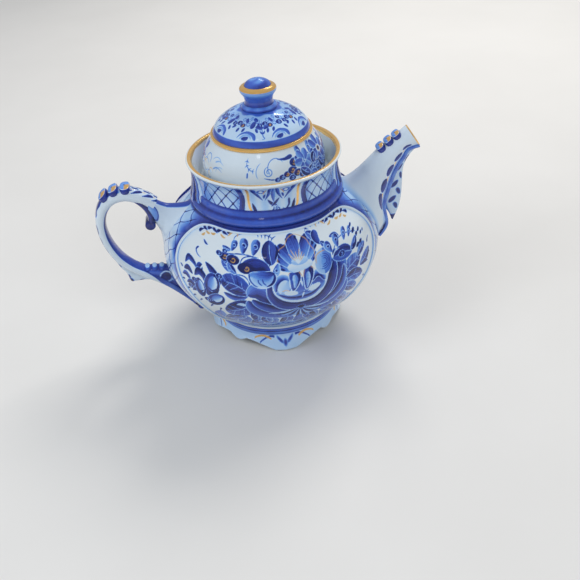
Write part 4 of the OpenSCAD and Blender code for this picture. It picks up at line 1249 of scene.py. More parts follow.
def rooted(side, first, z, half_h, half_w, t, target, flare):
    """Rings that leave the body's wall in a soft fillet and reach the target ring."""
    low = wall_ring(side, first, z, half_h + flare, half_w + flare, t, -0.5)
    edge = wall_ring(side, first, z, half_h + flare * 0.9, half_w + flare * 0.9, t, 0.12)
    knee = wall_ring(side, first, z, half_h, half_w, t, 0.5)
    q = np.linspace(0, 1, 14)[:, None, None]
    arc = (1 - q) ** 2 * edge[None] + 2 * q * (1 - q) * knee[None] + q**2 * target[None]
    return np.concatenate([low[None], arc[:-1]])


def strap_sections(p):
    """Sections for oval() from rows of x, z, thickness and width along a strap's middle."""
    v = np.gradient(p[:, :2], axis=0)
    v /= np.linalg.norm(v, axis=1)[:, None]
    t = p[:, 2:3] / 2
    n = np.stack([-v[:, 1], v[:, 0]], 1)
    return np.hstack([p[:, :2] + n * t, p[:, :2] - n * t, p[:, 3:4]])


def swept(name, rings, paint, nodes, slot):
    """A skin over the rings, on the pot; paint takes length along the sweep, angle in degrees and points."""
    m, n = rings.shape[:2]
    s = lengths(rings.mean(1))
    S = np.broadcast_to(s[:, None], (m, n))
    T = np.broadcast_to(np.arange(n) / n * 360, (m, n))
    c, g = paint(S, T, rings)
    c, g = np.broadcast_to(c, (m, n)).ravel(), np.broadcast_to(g, (m, n)).ravel()
    co, quads, tris = skin(rings)
    c, g = np.r_[c, c[:n].mean(), c[-n:].mean()], np.r_[g, g[:n].mean(), g[-n:].mean()]
    return piece(mesh_from(name, co, quads, tris, (c, g)), nodes, "pot", slot)


SPOUT = [(54.5, 98.8, 71.2, 52.5, 30), (58.5, 102, 76, 60.5, 26.1), (62.8, 105.8, 74, 74, 22.2),
         (66.5, 109.2, 77, 87.3, 19.5),
         (70, 112.5, 81.2, 99, 17.4), (76.3, 117.3, 86.3, 107.5, 15), (82.2, 121.6, 89.6, 112.3, 13.5),
         (88.5, 126.4, 96.3, 113.9, 15.5)]


def build_spout():
    """The open tube, a raised scroll down each flank, the leaf under it and three beads on top."""
    sides = 200
    t = np.arange(sides) / sides * 2 * math.pi
    sec = smooth(SPOUT, 26)
    outer = np.array([oval(s, t) for s in sec])
    root = rooted(1, 1, 73.5, 20.5, 15, t, outer[30], 2.6)
    outer = np.concatenate([root, outer[30:]])
    lip = np.array([oval(s, t, inn=d) for s, d in zip(np.repeat(sec[-1:], 3, 0), (0.35, 1.0, 1.9))])
    shift = (sec[-1, :4] - sec[-2, :4])
    push = np.array([shift[0] + shift[2], 0, shift[1] + shift[3]])
    push = push / np.linalg.norm(push) * 0.45
    lip += push * np.array([0.8, 1.0, 0.6])[:, None, None]
    inner = np.array([oval(s, t, inn=2.2) for s in smooth(SPOUT, 4)[::-1]])
    inner = np.concatenate([inner[:-4], wall_ring(1, 1, 73.5, 18.3, 12.8, t, -0.6)[None]])
    rings = np.concatenate([outer, lip, inner])
    m = len(rings)
    s = lengths(outer.mean(1))
    mouth = s[-1]
    cv = spout_chart(mouth)
    c, g = np.full((m, sides), 0.04), np.zeros((m, sides))
    deg = np.degrees(t)
    fold = folded(deg)
    S, T = np.meshgrid(s, fold, indexing="ij")
    c[:len(outer)], g[:len(outer)] = cv.at(S, T * CHART_ROUND)
    g[len(outer) - 3:len(outer) + 2] = 0.95
    c[len(outer) - 3:] = 0.03
    co, quads, tris = skin(rings, closed=True)
    piece(mesh_from("spout", co, quads, tris, (c.ravel(), g.ravel())), ["spout_tube"], "pot", "porcelain")

    # the scroll down each flank, with a cobalt line along it
    for name, node, side in (("spout_ridge_front", "spout_scroll_front", -1),
                             ("spout_ridge_back", "spout_scroll_back", 1)):
        turn = math.radians(150)
        a, b = sec[:, 0:2], sec[:, 2:4]
        mid = (a + b) / 2 + (a - b) / 2 * math.cos(turn)
        path = np.stack([mid[:, 0], side * sec[:, 4] / 2 * math.sin(turn), mid[:, 1]], 1)
        tan = np.gradient(path, axis=0)
        tan /= np.linalg.norm(tan, axis=1)[:, None]
        u = np.cross(tan, (0, 1, 0))
        u /= np.linalg.norm(u, axis=1)[:, None]
        w = np.cross(tan, u)
        k = np.linspace(0, 1, len(path))
        rad = 1.1 + 0.8 * np.sin(np.radians(150 * k))
        ang = np.radians(np.arange(0, 360, 12))
        rings = path[:, None] + rad[:, None, None] * (np.cos(ang)[None, :, None] * w[:, None] +
                                                      np.sin(ang)[None, :, None] * u[:, None])

        def paint(S, T, P):
            high = np.sin(np.radians(T))
            c = np.where(high > 0.55, 0.9, 0.5 + 0.05 * np.sin(S * 0.8))
            return np.clip(c, 0, 1), 0 * S

        swept(name, rings, paint, [node], "pale_blue")

    keel = smooth([(96, 113.6, 92.5, 113.6, 5), (91.5, 108.8, 87, 109, 5.5), (88, 103.2, 82.6, 103, 6),
                   (86.6, 96.4, 78.8, 96, 6),
                   (86.4, 88.2, 76, 88, 6), (86, 79.6, 74.2, 80, 5.5), (84.6, 71.8, 74.8, 73.6, 4.5),
                   (82.8, 66.6, 78.2, 67.4, 3),
                   (81, 62.2, 80.1, 62.4, 1.2)], 16)
    t2 = np.arange(72) / 72 * 2 * math.pi
    rings = np.array([oval(q, t2, 0.9) for q in keel])

    def keel_paint(S, T, P):
        z = P[..., 2]
        fold2 = folded(T)
        c = np.full(S.shape, 0.08)
        for z0, k0, lean in ((106, 60, 5), (100.5, 95, -5), (95, 55, 5), (89.5, 95, -5), (84, 60, 5),
                             (78.5, 95, -5), (73.5, 65, 5)):
            across = (fold2 - k0 - lean * (z - z0)) / 17
            c = np.maximum(c, 0.9 * step01((1.15 - np.hypot((z - z0) / 2.6, across)) / 0.35))
        c = np.maximum(c, 0.5 * step01((26 - fold2) / 8))
        c = np.where((fold2 > 128) & (z < 92), np.maximum(c, 0.4), c)
        return np.maximum(c, 0.95 * step01((67.5 - z) / 1.5)), 0 * S

    swept("spout_keel_leaf", rings, keel_paint, ["spout_keel"], "porcelain")

    for i in range(3):
        build_bead(f"spout_crest_{i + 1}", f"spout_bead_{i + 1}",
                   (72.5 + 4.9 * i, 114.3 + 3.7 * i - 0.15 * i * i), 5.7, 8.4, 9.6 - 0.4 * i, 37)


def spout_chart(mouth):
    """x along the spout from its root, y from the upper edge (0) to the under edge (36)."""
    cv = Canvas(0, mouth + 2, 0, 36)
    X, Y = np.meshgrid(cv.xs, cv.ys)
    # the ridge lies at y = 30: a blue band above it, the leaf's blue ground under it
    band = np.exp(-(((Y - 27.4 + 0.4 * np.sin(X * 0.5)) / 3.3) ** 4)) * step01((X - 8) / 8)
    cv.c[:] = 0.03 + 0.47 * band + 0.3 * step01((Y - 31) / 1.2)
    cv.c[:] = np.maximum(cv.c, 0.3 * np.exp(-((X / 3.2) ** 2)) * step01((30 - Y) / 6))
    for k, x in enumerate((18, 27, 36, 45, 53)):
        y = 21.6 - 0.1 * k
        cv.disc(x, y, 3.8 - 0.3 * k, 2.7 - 0.2 * k, 14, d=0.95, d2=0.8, gap=0.35)
        cv.stroke([(x + 2.8, y + 2.6), (x + 5.2, y + 1.2), (x + 8.0, y - 0.2)], 1.5, 0.04, streaks=0)
        if k < 4:
            cv.stroke([(x + 3.2, y + 2.2), (x + 5.4, y + 1.0), (x + 7.6, y)], 1.0, gold=0.95)
    for k in range(8):
        x = 20 + 6 * k
        cv.stroke([(x, 35.6), (x + 2.4, 33.8), (x + 5.2, 32.2)], 1.6, 0.9, shape="comma", streaks=0.1)
    cv.stroke([(mouth - 7, 34), (mouth - 3.6, 31), (mouth - 0.8, 29.6)], 1.6, 0.85)
    return cv


def build_bead(name, node, at, long, thick, wide, tilt):
    """A pressed bead of clay with a paler crown and a dab of gold on its top."""
    t = np.arange(48) / 48 * 2 * math.pi
    lat = np.radians(np.linspace(-88, 88, 29))
    rings = []
    for la in lat:
        r = math.cos(la) ** 0.6
        square = np.abs(np.cos(t)) ** 0.7 * np.sign(np.cos(t)), np.abs(np.sin(t)) ** 0.7 * np.sign(np.sin(t))
        rings.append(np.stack([r * square[0] * long / 2, r * square[1] * wide / 2,
                               0 * t + math.sin(la) * thick / 2], 1))
    rings = np.array(rings)
    top = rings[..., 2] / thick * 2
    rings[..., 2] = thick / 2 * np.where(top > 0.42, 0.42 + (top - 0.42) * 0.32, top)
    # every point stays in the CAD bead; the crown is pinched along its length
    rings[..., 1] *= 1 - 0.07 * np.clip(top, 0, 1)
    x, z = tilted(rings[..., 0], rings[..., 2], tilt)
    fore = rings[..., 0] / long * 2
    across = rings[..., 1] / wide * 2
    c = 0.84 - 0.46 * step01((top - 0.62) / 0.12)
    c = np.where(np.abs(top - 0.56) < 0.09, 0.05, c)
    g = 0.95 * step01((fore + 0.1) / 0.15) * step01((top - 0.5) / 0.1) * step01((0.1 - across) / 0.15)
    rings[..., 0], rings[..., 2] = x + at[0], z + at[1]
    co, quads, tris = skin(rings)
    c, g = np.r_[c.ravel(), 0.9, 0.5], np.r_[g.ravel(), 0, 0]
    piece(mesh_from(name, co, quads, tris, (c, g)), [node], "pot", "cobalt")


STRAP = [(-70, 95.6, 8.5, 11.5), (-77, 101, 8.5, 11.8), (-86, 104.5, 8.5, 11.8), (-94.5, 103, 8, 11.8),
         (-100.6, 97.5, 7.5, 11.8),
         (-103.7, 89, 6.5, 11.8), (-104, 80, 6, 11.8), (-101.8, 70, 6, 11.8), (-97.3, 60.5, 6, 11.8),
         (-91, 53, 6, 11.8),
         (-83.5, 47.5, 6, 11.8), (-76, 42.5, 6, 11.3), (-69, 36.5, 5.5, 10.3), (-62.5, 29.5, 5, 9.3),
         (-57, 22.5, 4.5, 7), (-52, 16, 4.2, 6)]


def build_handle():
    """Strap, stem, root, inner scroll, spur, thumb beads, drops and tail bead."""
    t = np.arange(96) / 96 * 2 * math.pi
    sec = strap_sections(smooth(STRAP, 36))
    rings = np.array([oval(s, t, 0.86) for s in sec])
    total = lengths(rings.mean(1))[-1]
    cv = Canvas(0, total, 0, 36)
    X, Y = np.meshgrid(cv.xs, cv.ys)
    # y runs from the inner middle (0) to the outer middle (36)
    edge = 11.4 + 0.6 * np.sin(X * 0.12) + 12.2 * step01((X - 92) / 20)
    inner = step01((edge - Y) / 0.7) * step01((X - 30) / 8)
    cv.c[:] = 0.03 + inner * (0.84 + 0.1 * np.sin(X * 0.05 + 0.4) - 0.32 * step01((X - 100) / 14) *
                              step01((Y - 9) / 5))
    cv.line([(106, 22.6), (114, 23.6), (124, 23.8), (total - 4, 23.4)], 0.8, 0.95)
    cv.c[:] = np.maximum(cv.c, 0.95 * step01((X - total + 5) / 2))
    # the saddle that carries the three beads
    saddle = step01((X - 20) / 3) * step01((43 - X) / 3) * step01((Y - 26.5 - 0.9 * np.sin(X * 1.05)) / 1.0)
    cv.c[:] = np.maximum(cv.c, 0.86 * saddle)
    for x, l in ((-2, 5.4), (4, 5.2), (10.5, 5), (16, 4.4)):
        cv.stroke([(x, 33.0), (x + l * 0.5, 28.6), (x + l, 25.2)], 3.6, 0.98, 0.85, shape="comma")
        cv.stroke([(x + 1, 36), (x + 3, 35.6), (x + 5, 35.8)], 1.8, 0.9)
        cv.stroke([(x + 3.6, 33.4), (x + 5.0, 32.2), (x + 6.2, 32.4)], 0.8, gold=0.85)
    for x in (47, 54.5, 62, 69):
        cv.stroke([(x, 29.6), (x + 2.8, 26.6), (x + 6.0, 28.8)], 4.6, 0.98, 0.85)
        cv.stroke([(x + 1, 36), (x + 3.4, 35.0), (x + 5.6, 35.6)], 1.6, 0.9)
    for x in (80, 90, 100, 112, 124, 136, 148):
        cv.stroke([(x, 35.8), (x + 4, 34.6), (x + 8, 35.4)], 1.0, 0.7)

    def paint(S, T, P):
        fold = folded(T)
        return cv.at(S, fold * CHART_ROUND)

    swept("handle_strap_scroll", rings, paint, ["handle_strap"], "porcelain")

    t = np.arange(120) / 120 * 2 * math.pi
    sec = smooth([(-66.8, 71.5, -57.5, 92.6, 12.5), (-69.6, 78, -63.5, 94.6, 11.5),
                  (-72, 85.5, -68.5, 97.4, 12.1), (-74.2, 92, -72.6, 100.6, 11.8)], 20)
    rings = np.array([oval(s, t, 0.95) for s in sec])
    rings = np.concatenate([rooted(-1, -1, 81, 11.5, 6.8, t, rings[14], 2.2), rings[14:]])

    def stem_paint(S, T, P):
        fold = folded(T)
        end = S[-1, 0]
        c = 0.04 + 0 * S
        # a leaf of pale blue wraps the stem where the strap sits on it
        reach = np.hypot((S - end + 1.5) / 7.5, (fold - 84) / 46)
        c = np.maximum(c, 0.46 * step01((1 - reach) / 0.08) * (0.55 + 0.45 * reach))
        c = np.maximum(c, 0.95 * np.exp(-((reach - 1) / 0.075) ** 2))
        c = np.maximum(c, 0.72 * step01((fold - 150) / 7))
        return c, 0 * S

    swept("handle_stem_leaf", rings, stem_paint, ["handle_stem"], "porcelain")

    sec = smooth([(-85, 50.2, -85.4, 47.2, 5), (-79, 51, -80, 43.5, 8.8), (-73, 50.6, -74.5, 39.6, 9.2),
                  (-67, 49.8, -68.5, 33.6, 9),
                  (-60.5, 48, -61, 26, 8)], 14)
    rings = np.array([oval(s, t, 0.9) for s in sec])
    cut = 44
    back = rooted(-1, 1, 36, 10.5, 3.6, t, rings[cut], 1.2)[::-1]
    rings = np.concatenate([rings[:cut], back])

    def root_paint(S, T, P):
        fold = folded(T)
        c = 0.86 - 0.3 * np.exp(-((fold - 75) / 22) ** 2)
        x = P[..., 0]
        arc = np.hypot(x + 70.5, (P[..., 2] - 43.5))
        c = np.where(np.abs(arc - 3.9) < 0.4, 0.08, c)
        c = np.where(arc < 3.3, 0.95, c)
        return c, 0 * S

    swept("handle_root_curl", rings, root_paint, ["handle_root"], "cobalt")

    line = smooth([(-83, 102.2, 3, 9.8), (-77.5, 98.6, 5.4, 11.3), (-73.8, 93.6, 6.2, 11.3),
                   (-72.5, 88.2, 5.8, 11), (-73.4, 83.6, 5, 10.8)], 16)
    rings = np.array([oval(s, t, 0.85) for s in strap_sections(line)])

    def scroll_paint(S, T, P):
        return 0.93 + 0.06 * np.sin(np.radians(T * 4)), 0 * S

    curl = swept("handle_inner_scroll", rings, scroll_paint, ["handle_scroll"], "cobalt")
    curl_bulb(curl)

    spur = smooth([(-100.4, 62.5, -101.6, 61, 2.5), (-95.6, 58, -98.4, 53.2, 4.5),
                   (-92, 54.5, -95.2, 47.8, 5), (-88.4, 51, -93.6, 41.4, 4.6),
                   (-85.6, 49, -90.6, 41, 4.8), (-82, 46.6, -84.4, 41.2, 5), (-76, 43, -77.2, 39.6, 3)], 16)
    t3 = np.arange(64) / 64 * 2 * math.pi
    rings = np.array([oval(s, t3, 0.9) for s in spur])

    def spur_paint(S, T, P):
        fold = folded(T)
        c = 0.05 + 0.6 * step01((fold - 142) / 14)
        tip = np.hypot(P[..., 0] + 94.2, P[..., 2] - 42.2)
        c = np.maximum(c, 0.97 * step01((3.2 - tip) / 1.2))
        c = np.maximum(c, 0.9 * (np.abs((S + fold * 0.05) % 9 - 4) < 1.1) * (fold > 118))
        return c, 0 * S

    swept("handle_spur_leaf", rings, spur_paint, ["handle_spur"], "porcelain")

    for i, (x, z, tilt) in enumerate(((-98.8, 105, 38), (-92.4, 107.7, 20), (-85.4, 108.1, 2))):
        build_bead(f"handle_crest_{i + 1}", f"handle_bead_{i + 1}", (x, z), 6.3, 7.2, 12.1, tilt)

    # the drops beside the root are one piece of three beads
    t4 = np.arange(32) / 32 * 2 * math.pi
    lat = np.radians(np.linspace(-86, 86, 17))
    verts, quads, tris, cob = [], [], [], []
    base = 0
    for i in range(3):
        ring = np.array([np.stack([math.cos(la) * np.cos(t4) * 2.2,
                                   math.cos(la) * np.sin(t4) * (8.8 - 0.3 * i) / 2,
                                   0 * t4 + math.sin(la) * 1.8], 1) for la in lat])
        co, q, tr = skin(ring)
        top = co[:, 2] / 1.8
        cob.append(0.66 - 0.5 * step01((top - 0.62) / 0.2))
        x, z = tilted(co[:, 0], co[:, 2], -6)
        verts.append(np.stack([x - 81.6 + 4.6 * i, co[:, 1], z + 49.9 - 0.3 * i], 1))
        quads.append(q + base)
        tris.append(tr + base)
        base += len(co)
    cob = np.concatenate(cob)
    piece(mesh_from("handle_pearls", np.vstack(verts), np.vstack(quads), np.vstack(tris), (cob, 0 * cob)),
          ["handle_drops"], "pot", "pale_blue")

    t5 = np.arange(40) / 40 * 2 * math.pi
    lat = np.radians(np.linspace(-88, 88, 27))
    rings = np.array([np.stack([-50.6 + 3.1 * math.cos(la) * np.cos(t5),
                                3.1 * math.cos(la) * np.sin(t5) * 0.97,
                                14.6 + 3.1 * math.sin(la) + 0 * t5], 1)
                      for la in lat])
    swept("handle_tail_drop", rings, lambda S, T, P: (0.72 - 0.2 * step01((P[..., 2] - 15) / 2), 0 * S),
          ["handle_tail_bead"], "cobalt")


def curl_bulb(obj):
    """Joins the rounded end of the inner scroll to its strap."""
    prof = [(0.2, -5.4), (2.1, -5.4), (2.9, -5.15), (3.2, -4.6), (3.2, 4.6), (2.9, 5.15), (2.1, 5.4),
            (0.2, 5.4)]
    t = np.arange(48) / 48 * 2 * math.pi
    rings = np.array([np.stack([-74.2 + r * np.cos(t), 0 * t + y, 82.6 + r * np.sin(t)], 1) for r, y in prof])
    co, quads, tris = skin(rings)
    bm = bmesh.new()
    bm.from_mesh(obj.data)
    layer = bm.verts.layers.float_color["paint"]
    vs = []
    for p in co:
        v = bm.verts.new(p * MM)
        v[layer] = (0.93, 0, 0, 1)
        vs.append(v)
    for q in list(quads) + list(tris):
        bm.faces.new([vs[i] for i in q]).smooth = True
    bmesh.ops.recalc_face_normals(bm, faces=bm.faces)
    bm.to_mesh(obj.data)
    bm.free()


# ---- lid ------------------------------------------------------------------------------

BELL = smooth([(36.4, 108), (37.1, 112.5), (37.2, 117.3), (36.4, 122.8), (34.2, 128.2), (30.3, 133.6)], 8)
DOME = smooth([(29, 136.4), (28.2, 138.6), (25.9, 141.8), (22.2, 144.8), (16.6, 147.8), (10, 149.5)], 8)


def bell_chart():
    """The lid's lower wall; y runs up from its foot."""
    k = BELL_PITCH
    cv = Canvas(-180 * k, 180 * k, 0, 25, wrap=True)
    for turn in (0, 180):
        def X(az):
            return ((az + turn + 180) % 360 - 180) * k

        def at(pts):
            x0 = X(pts[0][0])
            return [(x0 + (a - pts[0][0]) * k, y) for a, y in pts]
        # thin curls in grey-blue and gold at the left
        for a, y, r in ((-74, 13.5, 3.4), (-66, 9.6, 2.2), (-82, 10.5, 2.4)):
            cv.ring(X(a), y, r, 0.4, 0.45, a0=20, a1=330)
            cv.ring(X(a) + 0.4, y, r * 0.8, 0.4, gold=0.7, a0=90, a1=300)
        cv.ring(X(-56), 15.6, 4.6, 0.35, 0.3, a0=35, a1=150)
        cv.ring(X(-50), 12.0, 3.6, 0.35, 0.26, a0=60, a1=170)
        cv.stroke(at([(-60, 13.4), (-54, 15.0), (-47, 13.2)]), 0.9, 0.3, shape="comma", streaks=0.3)
        cv.stroke(at([(-58, 17.4), (-52, 18.6), (-46, 17.0)]), 0.8, 0.26, shape="comma", streaks=0.3)
        cv.ring(X(-70), 17.6, 2.6, 0.4, 0.5, a0=-40, a1=200)
        cv.ring(X(-63), 11.4, 2.0, 0.35, gold=0.6, a0=0, a1=260)
        # a tendril and curls in the middle
        cv.ticks(at([(-21, 23), (-21.8, 19.5), (-19, 17), (-15, 16.2)]), 4, 1.8, 60, d=0.6, w=0.4)
        cv.line(at([(-21, 15.4), (-21.4, 12.6)]), 0.8, 0.6)
        cv.spiral(X(-1.5), 15.4, 2.8, 1.8, 0.4, 0.55)
        cv.ring(X(6), 17.0, 5.0, 0.4, 0.55, a0=30, a1=220)
        cv.ring(X(-4), 15.4, 5.6, 0.35, 0.4, a0=120, a1=215)
        cv.line(at([(-6, 12.4), (2, 11.2), (10, 11.8), (20, 14)]), 0.5, 0.9)
        # berries in a row and the flowers they lead to
        for a, y, r in ((6, 10.9, 1.2), (10.5, 11.8, 1.4), (15.5, 12.8, 1.6), (21, 14.2, 2.0),
                        (20, 10.4, 1.5), (24.5, 18.0, 2.2), (26, 12.2, 1.9),
                        (31, 10.6, 1.7)):
            cv.berry(X(a), y, r, gold=r > 1.5)
        for a, y, l, w, turnp in ((33, 21.5, 6, 5, 100), (38, 17.6, 6.4, 5, 30), (31, 18, 5.4, 4.4, 150),
                                  (48, 21.6, 6, 4.8, 60)):
            cv.bud(X(a), y, l, w, turnp)
        for bx, by, size, first, dark in ((48, 12.4, 6.6, 20, 0.97), (74, 11.0, 7.0, 50, 0.95),
                                          (36, 16.8, 5.6, 0, 0.66), (86, 19.0, 6.0, 35, 0.8)):
            for ang in range(first, first + 360, 60):
                cv.stroke(ray(X(bx), by, ang, (0, size * 0.55, size)), size * 0.95, dark, dark - 0.35,
                          shape="petal", gap=0.2,
                          streaks=0.4)
            cv.spiral(X(bx), by, size * 0.28, 1.2, 0.45, white=True)
        for ang in range(0, 360, 60):
            cv.stroke(ray(X(62), 17.8, ang + 15, (1, 3.8, 7.0)), 6.6, 0.8, 0.4, shape="petal", gap=0.35,
                      streaks=0.4)
        cv.disc(X(62), 17.8, 2.0, d=0.08, gap=0.1)
        cv.disc(X(62), 17.8, 1.1, d=0.98)
        cv.ring(X(62), 17.8, 1.5, 0.35, gold=0.9)
        for a, y, a2, y2 in ((44, 12.5, 36, 9.5), (48, 9.6, 58, 8.6), (72, 11.5, 84, 9.6), (76, 20, 88, 21.5),
                             (40, 8.4, 50, 7.4), (66, 9.6, 74, 7.4)):
            p, q = at([(a, y), (a2, y2)])
            cv.leaf(p, q, 3.6, 0.5, dark=0.97, pale=0.6, veins=2)
        for a, y, a2, y2 in ((30, 13.6, 40, 9.0), (56, 13.4, 64, 8.2), (80, 13.2, 90, 9.4),
                             (52, 17.6, 46, 13.8), (94, 15.2, 86, 12.0)):
            p, q = at([(a, y), (a2, y2)])
            cv.leaf(p, q, 4.4, -0.5, dark=0.98, pale=0.7, veins=1)
        cv.ticks(at([(80, 16), (88, 18), (95, 16.4), (101, 17.4)]), 4, 1.7, 65, d=0.8, w=0.5)
        cv.stroke(at([(24, 21.6), (16, 20.8), (8, 21.4)]), 2.2, 0.85, shape="comma")
    return cv


def dome_chart():
    """The dome; y runs up from the girdle."""
    k = DOME_PITCH
    cv = Canvas(-180 * k, 180 * k, 0, 25, wrap=True)
    X, Y = np.meshgrid(cv.xs, cv.ys)
    cv.c[:] = 0.09 + 0.11 * step01((Y - 9) / 8)
    cv.c[:] = np.maximum(cv.c, 0.6 * step01((Y - 20.4 - 0.7 * np.sin(X * 0.35)) / 2.2))
    band = step01((4.0 - Y) / 0.5)
    cv.c[:] = cv.c * (1 - band) + band * (0.66 + 0.06 * np.sin(X * 0.2 + Y))
    for n in range(8):
        cx = -161 * k + n * 45 * k

        def at(pts):
            return [(cx + x, y) for x, y in pts]
        # a double arc over a dark comma
        cv.stroke(at([(5.2, 4.7), (4.3, 7.6), (0.6, 9.2), (-3.2, 7.9), (-5.4, 5.2)]), 2.3, 0.66, 0.5,
                  shape="comma", gap=0.1)
        cv.stroke(at([(3.1, 5.2), (2.3, 7.0), (0.2, 7.7), (-2.0, 6.8), (-3.6, 5.0)]), 1.0, 0.3, shape="line",
                  streaks=0.1)
        cv.stroke(at([(1.6, 6.4), (0.0, 5.5), (-2.4, 5.2)]), 2.4, 0.92, 0.75, gap=0.1)
        # the wreath of berries, curls and leaves
        for m, (dx, y, r) in enumerate(((-7.6, 15.0, 1.6), (-4.2, 13.6, 1.5), (3.6, 14.2, 1.7),
                                        (8.6, 14.0, 1.4), (-2.0, 17.2, 1.3), (5.4, 18.0, 1.4))):
            if m in (0, 1, 3) or (m + n) % 3 == 0:
                cv.berry(cx + dx, y, r, gold=m == 1)
            else:
                cv.disc(cx + dx, y, r * 1.25, r * 1.05, 30 * m, d=0.86, d2=0.7, gap=0.1)
        for dx, y, r, st in ((0.0, 14.8, 2.2, 40), (7.2, 17.0, 2.2, 120), (-5.4, 17.6, 2.0, 200),
                             (1.6, 18.8, 1.7, 10)):
            cv.spiral(cx + dx, y, r, 1.6, 0.42, 0.62, start=st)
        for dx, y, a in ((-9.2, 12.6, 215), (-1.8, 11.8, 240), (5.6, 11.6, 300), (-6.0, 11.6, 250)):
            cv.stroke(ray(cx + dx, y, a, (0, 1.5, 3.0), 0.2), 1.7, 0.9, 0.7)
    for n in range(4):
        hx = (-3.5 - 90 * (n - 2)) * k if n else (-3.5 + 180 - 360) * k
        cv.line([(hx, 17), (hx - 0.2, 11), (hx + 0.1, 6.8), (hx + 0.9, 5.4), (hx - 0.6, 4.8)], 0.42, 0.7)
        for s in (-1, 1):
            cv.stroke([(hx + s * 1.0, 11.4), (hx + s * 2.6, 12.6), (hx + s * 4.4, 12.4)], 2.6, 0.88, 0.7,
                      gap=0.1)
            cv.stroke([(hx + s * 0.3, 8.4), (hx + s * 1.2, 9.4), (hx + s * 1.6, 10.4)], 1.1, 0.8,
                      shape="comma")
    return cv


def build_lid():
    """Wall, dome, gilt step and locating ring of the lid."""
    bell = bell_chart()
    outer = even(BELL, 0.33)
    inner = even(inset(BELL, WALL)[::-1], 1.0)
    inner = inner[(inner[:, 1] > 109) & (inner[:, 1] < 133)]
    line = np.vstack([outer, [(29.8, 134), (28.4, 134), (26.9, 133.9)], inner,
                      [(33.2, 108.3), (33.6, 108.0), (35.0, 107.95), (36.0, 107.95)]])
    s_out = lengths(outer)[-1]

    def paint(A, S, R, Z):
        c, g = bell.at(A * BELL_PITCH, np.clip(S * 25.0 / s_out, 0, 24.9))
        on = S <= s_out
        fade = step01((S - 0.6) / 0.8)
        return np.where(on, c * fade + 0.02, 0.02), np.where(on, g, 0)

    turned_piece("lid_lower_wall", line, 840, paint, ["lid_bell"], "lid", "porcelain")

    dome = dome_chart()
    outer = even(DOME, 0.33)
    inner = even(inset(DOME, WALL)[::-1], 1.0)
    inner = inner[(inner[:, 1] > 137.5) & (inner[:, 1] < 146.3)]
    cap = even(np.array([(10, 149.5), (0.6, 149.5)]), 1.4)
    under = even(np.array([(0.6, 146.5), (9.4, 146.5)]), 1.4)
    line = np.vstack([outer, cap[1:], under, inner, [(26.1, 136.5), (26.9, 136.4), (28.5, 136.4)]])
    s_out = lengths(outer)[-1]
    rings, az = turned_rings(line, 720)
    A, S = np.meshgrid(az, lengths(line))
    c, g = dome.at(A * DOME_PITCH, np.clip(S, 0, 24.9))
    on = S <= s_out
    c, g = np.where(on, c, 0.02), np.where(on, g, 0)
    vent = np.hypot(rings[..., 0] - VENT_X, rings[..., 1] - VENT_Y)
    c = np.where(on, np.maximum(c, 0.9 * step01((2.2 - vent) / 0.4)), c)
    co, quads, tris = skin(rings, closed=True)
    me = mesh_from("lid_dome_painted", co, quads, tris, (c.ravel(), g.ravel()))
    cut_vent(me)
    piece(me, ["lid_dome"], "lid", "pale_blue")

    girdle = [(26.9, 134.05), (28.4, 134.0), (29.7, 134.05)]
    girdle += [(29.2 + 1.25 * math.cos(a), 135.2 + 1.2 * math.sin(a))
               for a in np.radians(np.arange(-66, 67, 6))]
    line = np.vstack([girdle, [(29.1, 136.35), (28.2, 136.4), (26.9, 136.3)]])
    turned_piece("lid_gilt_band", line, 720,
                 lambda A, S, R, Z: (0 * A + 0.1, np.where(R > 29.2, 0.97 + 0.02 * np.sin(np.radians(A) * 19), 0.97)),
                 ["lid_girdle"], "lid", "gilt")

    line = np.array([(33, 103.2), (33, 105), (33, 107.6), (33.15, 107.95), (33.4, 108), (33.5, 110.3),
                     (33.2, 110.5), (30.9, 110.5), (30.6, 110.2),
                     (30.6, 106), (30.6, 103.5), (31, 103), (32.7, 103)])
    line = even(smooth(line, 4, closed=True), 0.5)
    turned_piece("lid_flange_ring", line, 360, lambda A, S, R, Z: (0.02 + 0 * A, 0 * A), ["lid_flange"],
                 "lid", "porcelain")


def cut_vent(me):
    """The steam hole on the far side of the dome."""
    bm = bmesh.new()
    bm.from_mesh(me)

    def off(p):
        return math.hypot(p.x / MM - VENT_X, p.y / MM - VENT_Y)

    def round_off(v):
        k = VENT_R / max(off(v.co), 1e-6)
        v.co.x = (VENT_X + (v.co.x / MM - VENT_X) * k) * MM
        v.co.y = (VENT_Y + (v.co.y / MM - VENT_Y) * k) * MM
    walled_hole(bm, [f for f in bm.faces if off(f.verts[0].co) < 4 and
                     off(f.calc_center_median()) < VENT_R and
                     f.verts[0].co.z > 0.14], round_off)
    bm.to_mesh(me)
    bm.free()
    me.shade_smooth()


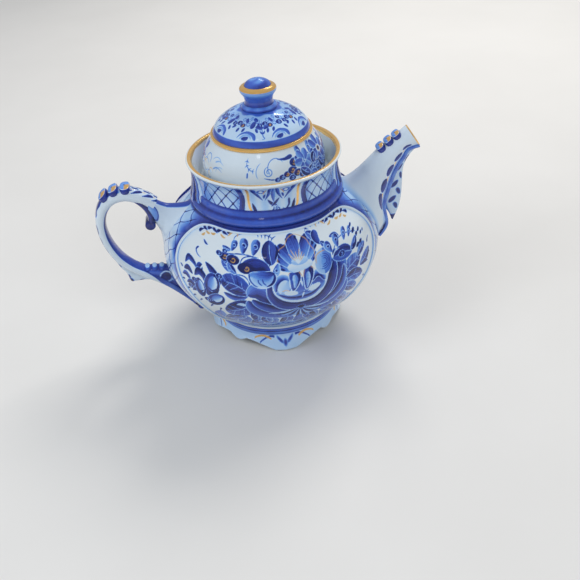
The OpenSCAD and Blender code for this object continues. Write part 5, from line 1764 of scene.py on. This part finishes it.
def build_knob():
    """Collar, waist, gilt ring and cap of the lid's knob."""
    def solid(name, outline, node, slot, paint):
        line = even(np.vstack([[(0.15, outline[0][1])], outline, [(0.15, outline[-1][1])]]), 0.3)
        turned_piece(name, line, 240, paint, [node], "lid", slot, closed=False)

    foot = np.vstack([[(10, 149.5)], smooth([(10.45, 149.7), (10.6, 150.3), (10.1, 151.3), (8.9, 152)], 6)])
    # the collar is painted paler on its upper side, a painted highlight
    solid("knob_collar", foot, "knob_foot", "cobalt",
          lambda A, S, R, Z: (0.74 - 0.26 * step01((Z - 150.2) / 1.0) + 0.05 * np.sin(np.radians(A) * 9), 0 * A))
    stem = smooth([(8.7, 152.05), (8.4, 152.8), (8.3, 154.6), (9, 157), (10.5, 159.2), (10.8, 160.6)], 8)
    # painted light: darkest at the narrow waist, paler up the lit flare under the gilt ring
    solid("knob_waist", stem, "knob_stem", "cobalt",
          lambda A, S, R, Z: (np.interp(Z, (152, 153.2, 155.5, 157.8, 159.6, 160.4),
                                        (0.86, 0.78, 0.66, 0.55, 0.36, 0.3)), 0 * A))
    ring = smooth([(10.8, 160.6), (10.65, 161.4), (10.0, 162.1), (9, 162.6), (8, 162.9), (7.85, 162.75)], 5)
    line = np.vstack([[(7.9, 160.62)], even(ring, 0.2), [(7.85, 162.6)]])
    turned_piece("knob_gilt_ring", line, 240, lambda A, S, R, Z: (0.3 + 0 * A, np.where(Z > 161.05, 0.97, 0.0)),
                 ["knob_ring"], "lid", "gilt")
    cap = smooth([(7.75, 161), (7.8, 162.7), (6.9, 164.2), (4.8, 165.5), (2.3, 166.3), (0.4, 166.5)], 8)
    # painted highlight: the cap is paler toward the middle of its top and darker toward its rim
    solid("knob_cap_dome", np.vstack([[(7.7, 160.62)], cap]), "knob_cap", "cobalt",
          lambda A, S, R, Z: (0.44 + 0.26 * step01((R - 3.6) / 3.4) + 0.10 * np.sin(np.radians(A) * 3 + R),
                              0 * A))


build_body()
build_neck()
build_neck_leaf("neck_leaf_left", "neck_leaf_handle", math.pi)
build_neck_leaf("neck_leaf_right", "neck_leaf_spout", 0.0)
build_ridge("panel_ridge_front", "panel_frame_front", -90)
build_ridge("panel_ridge_back", "panel_frame_back", 90)
build_foot()
build_spout()
build_handle()
build_lid()
build_knob()
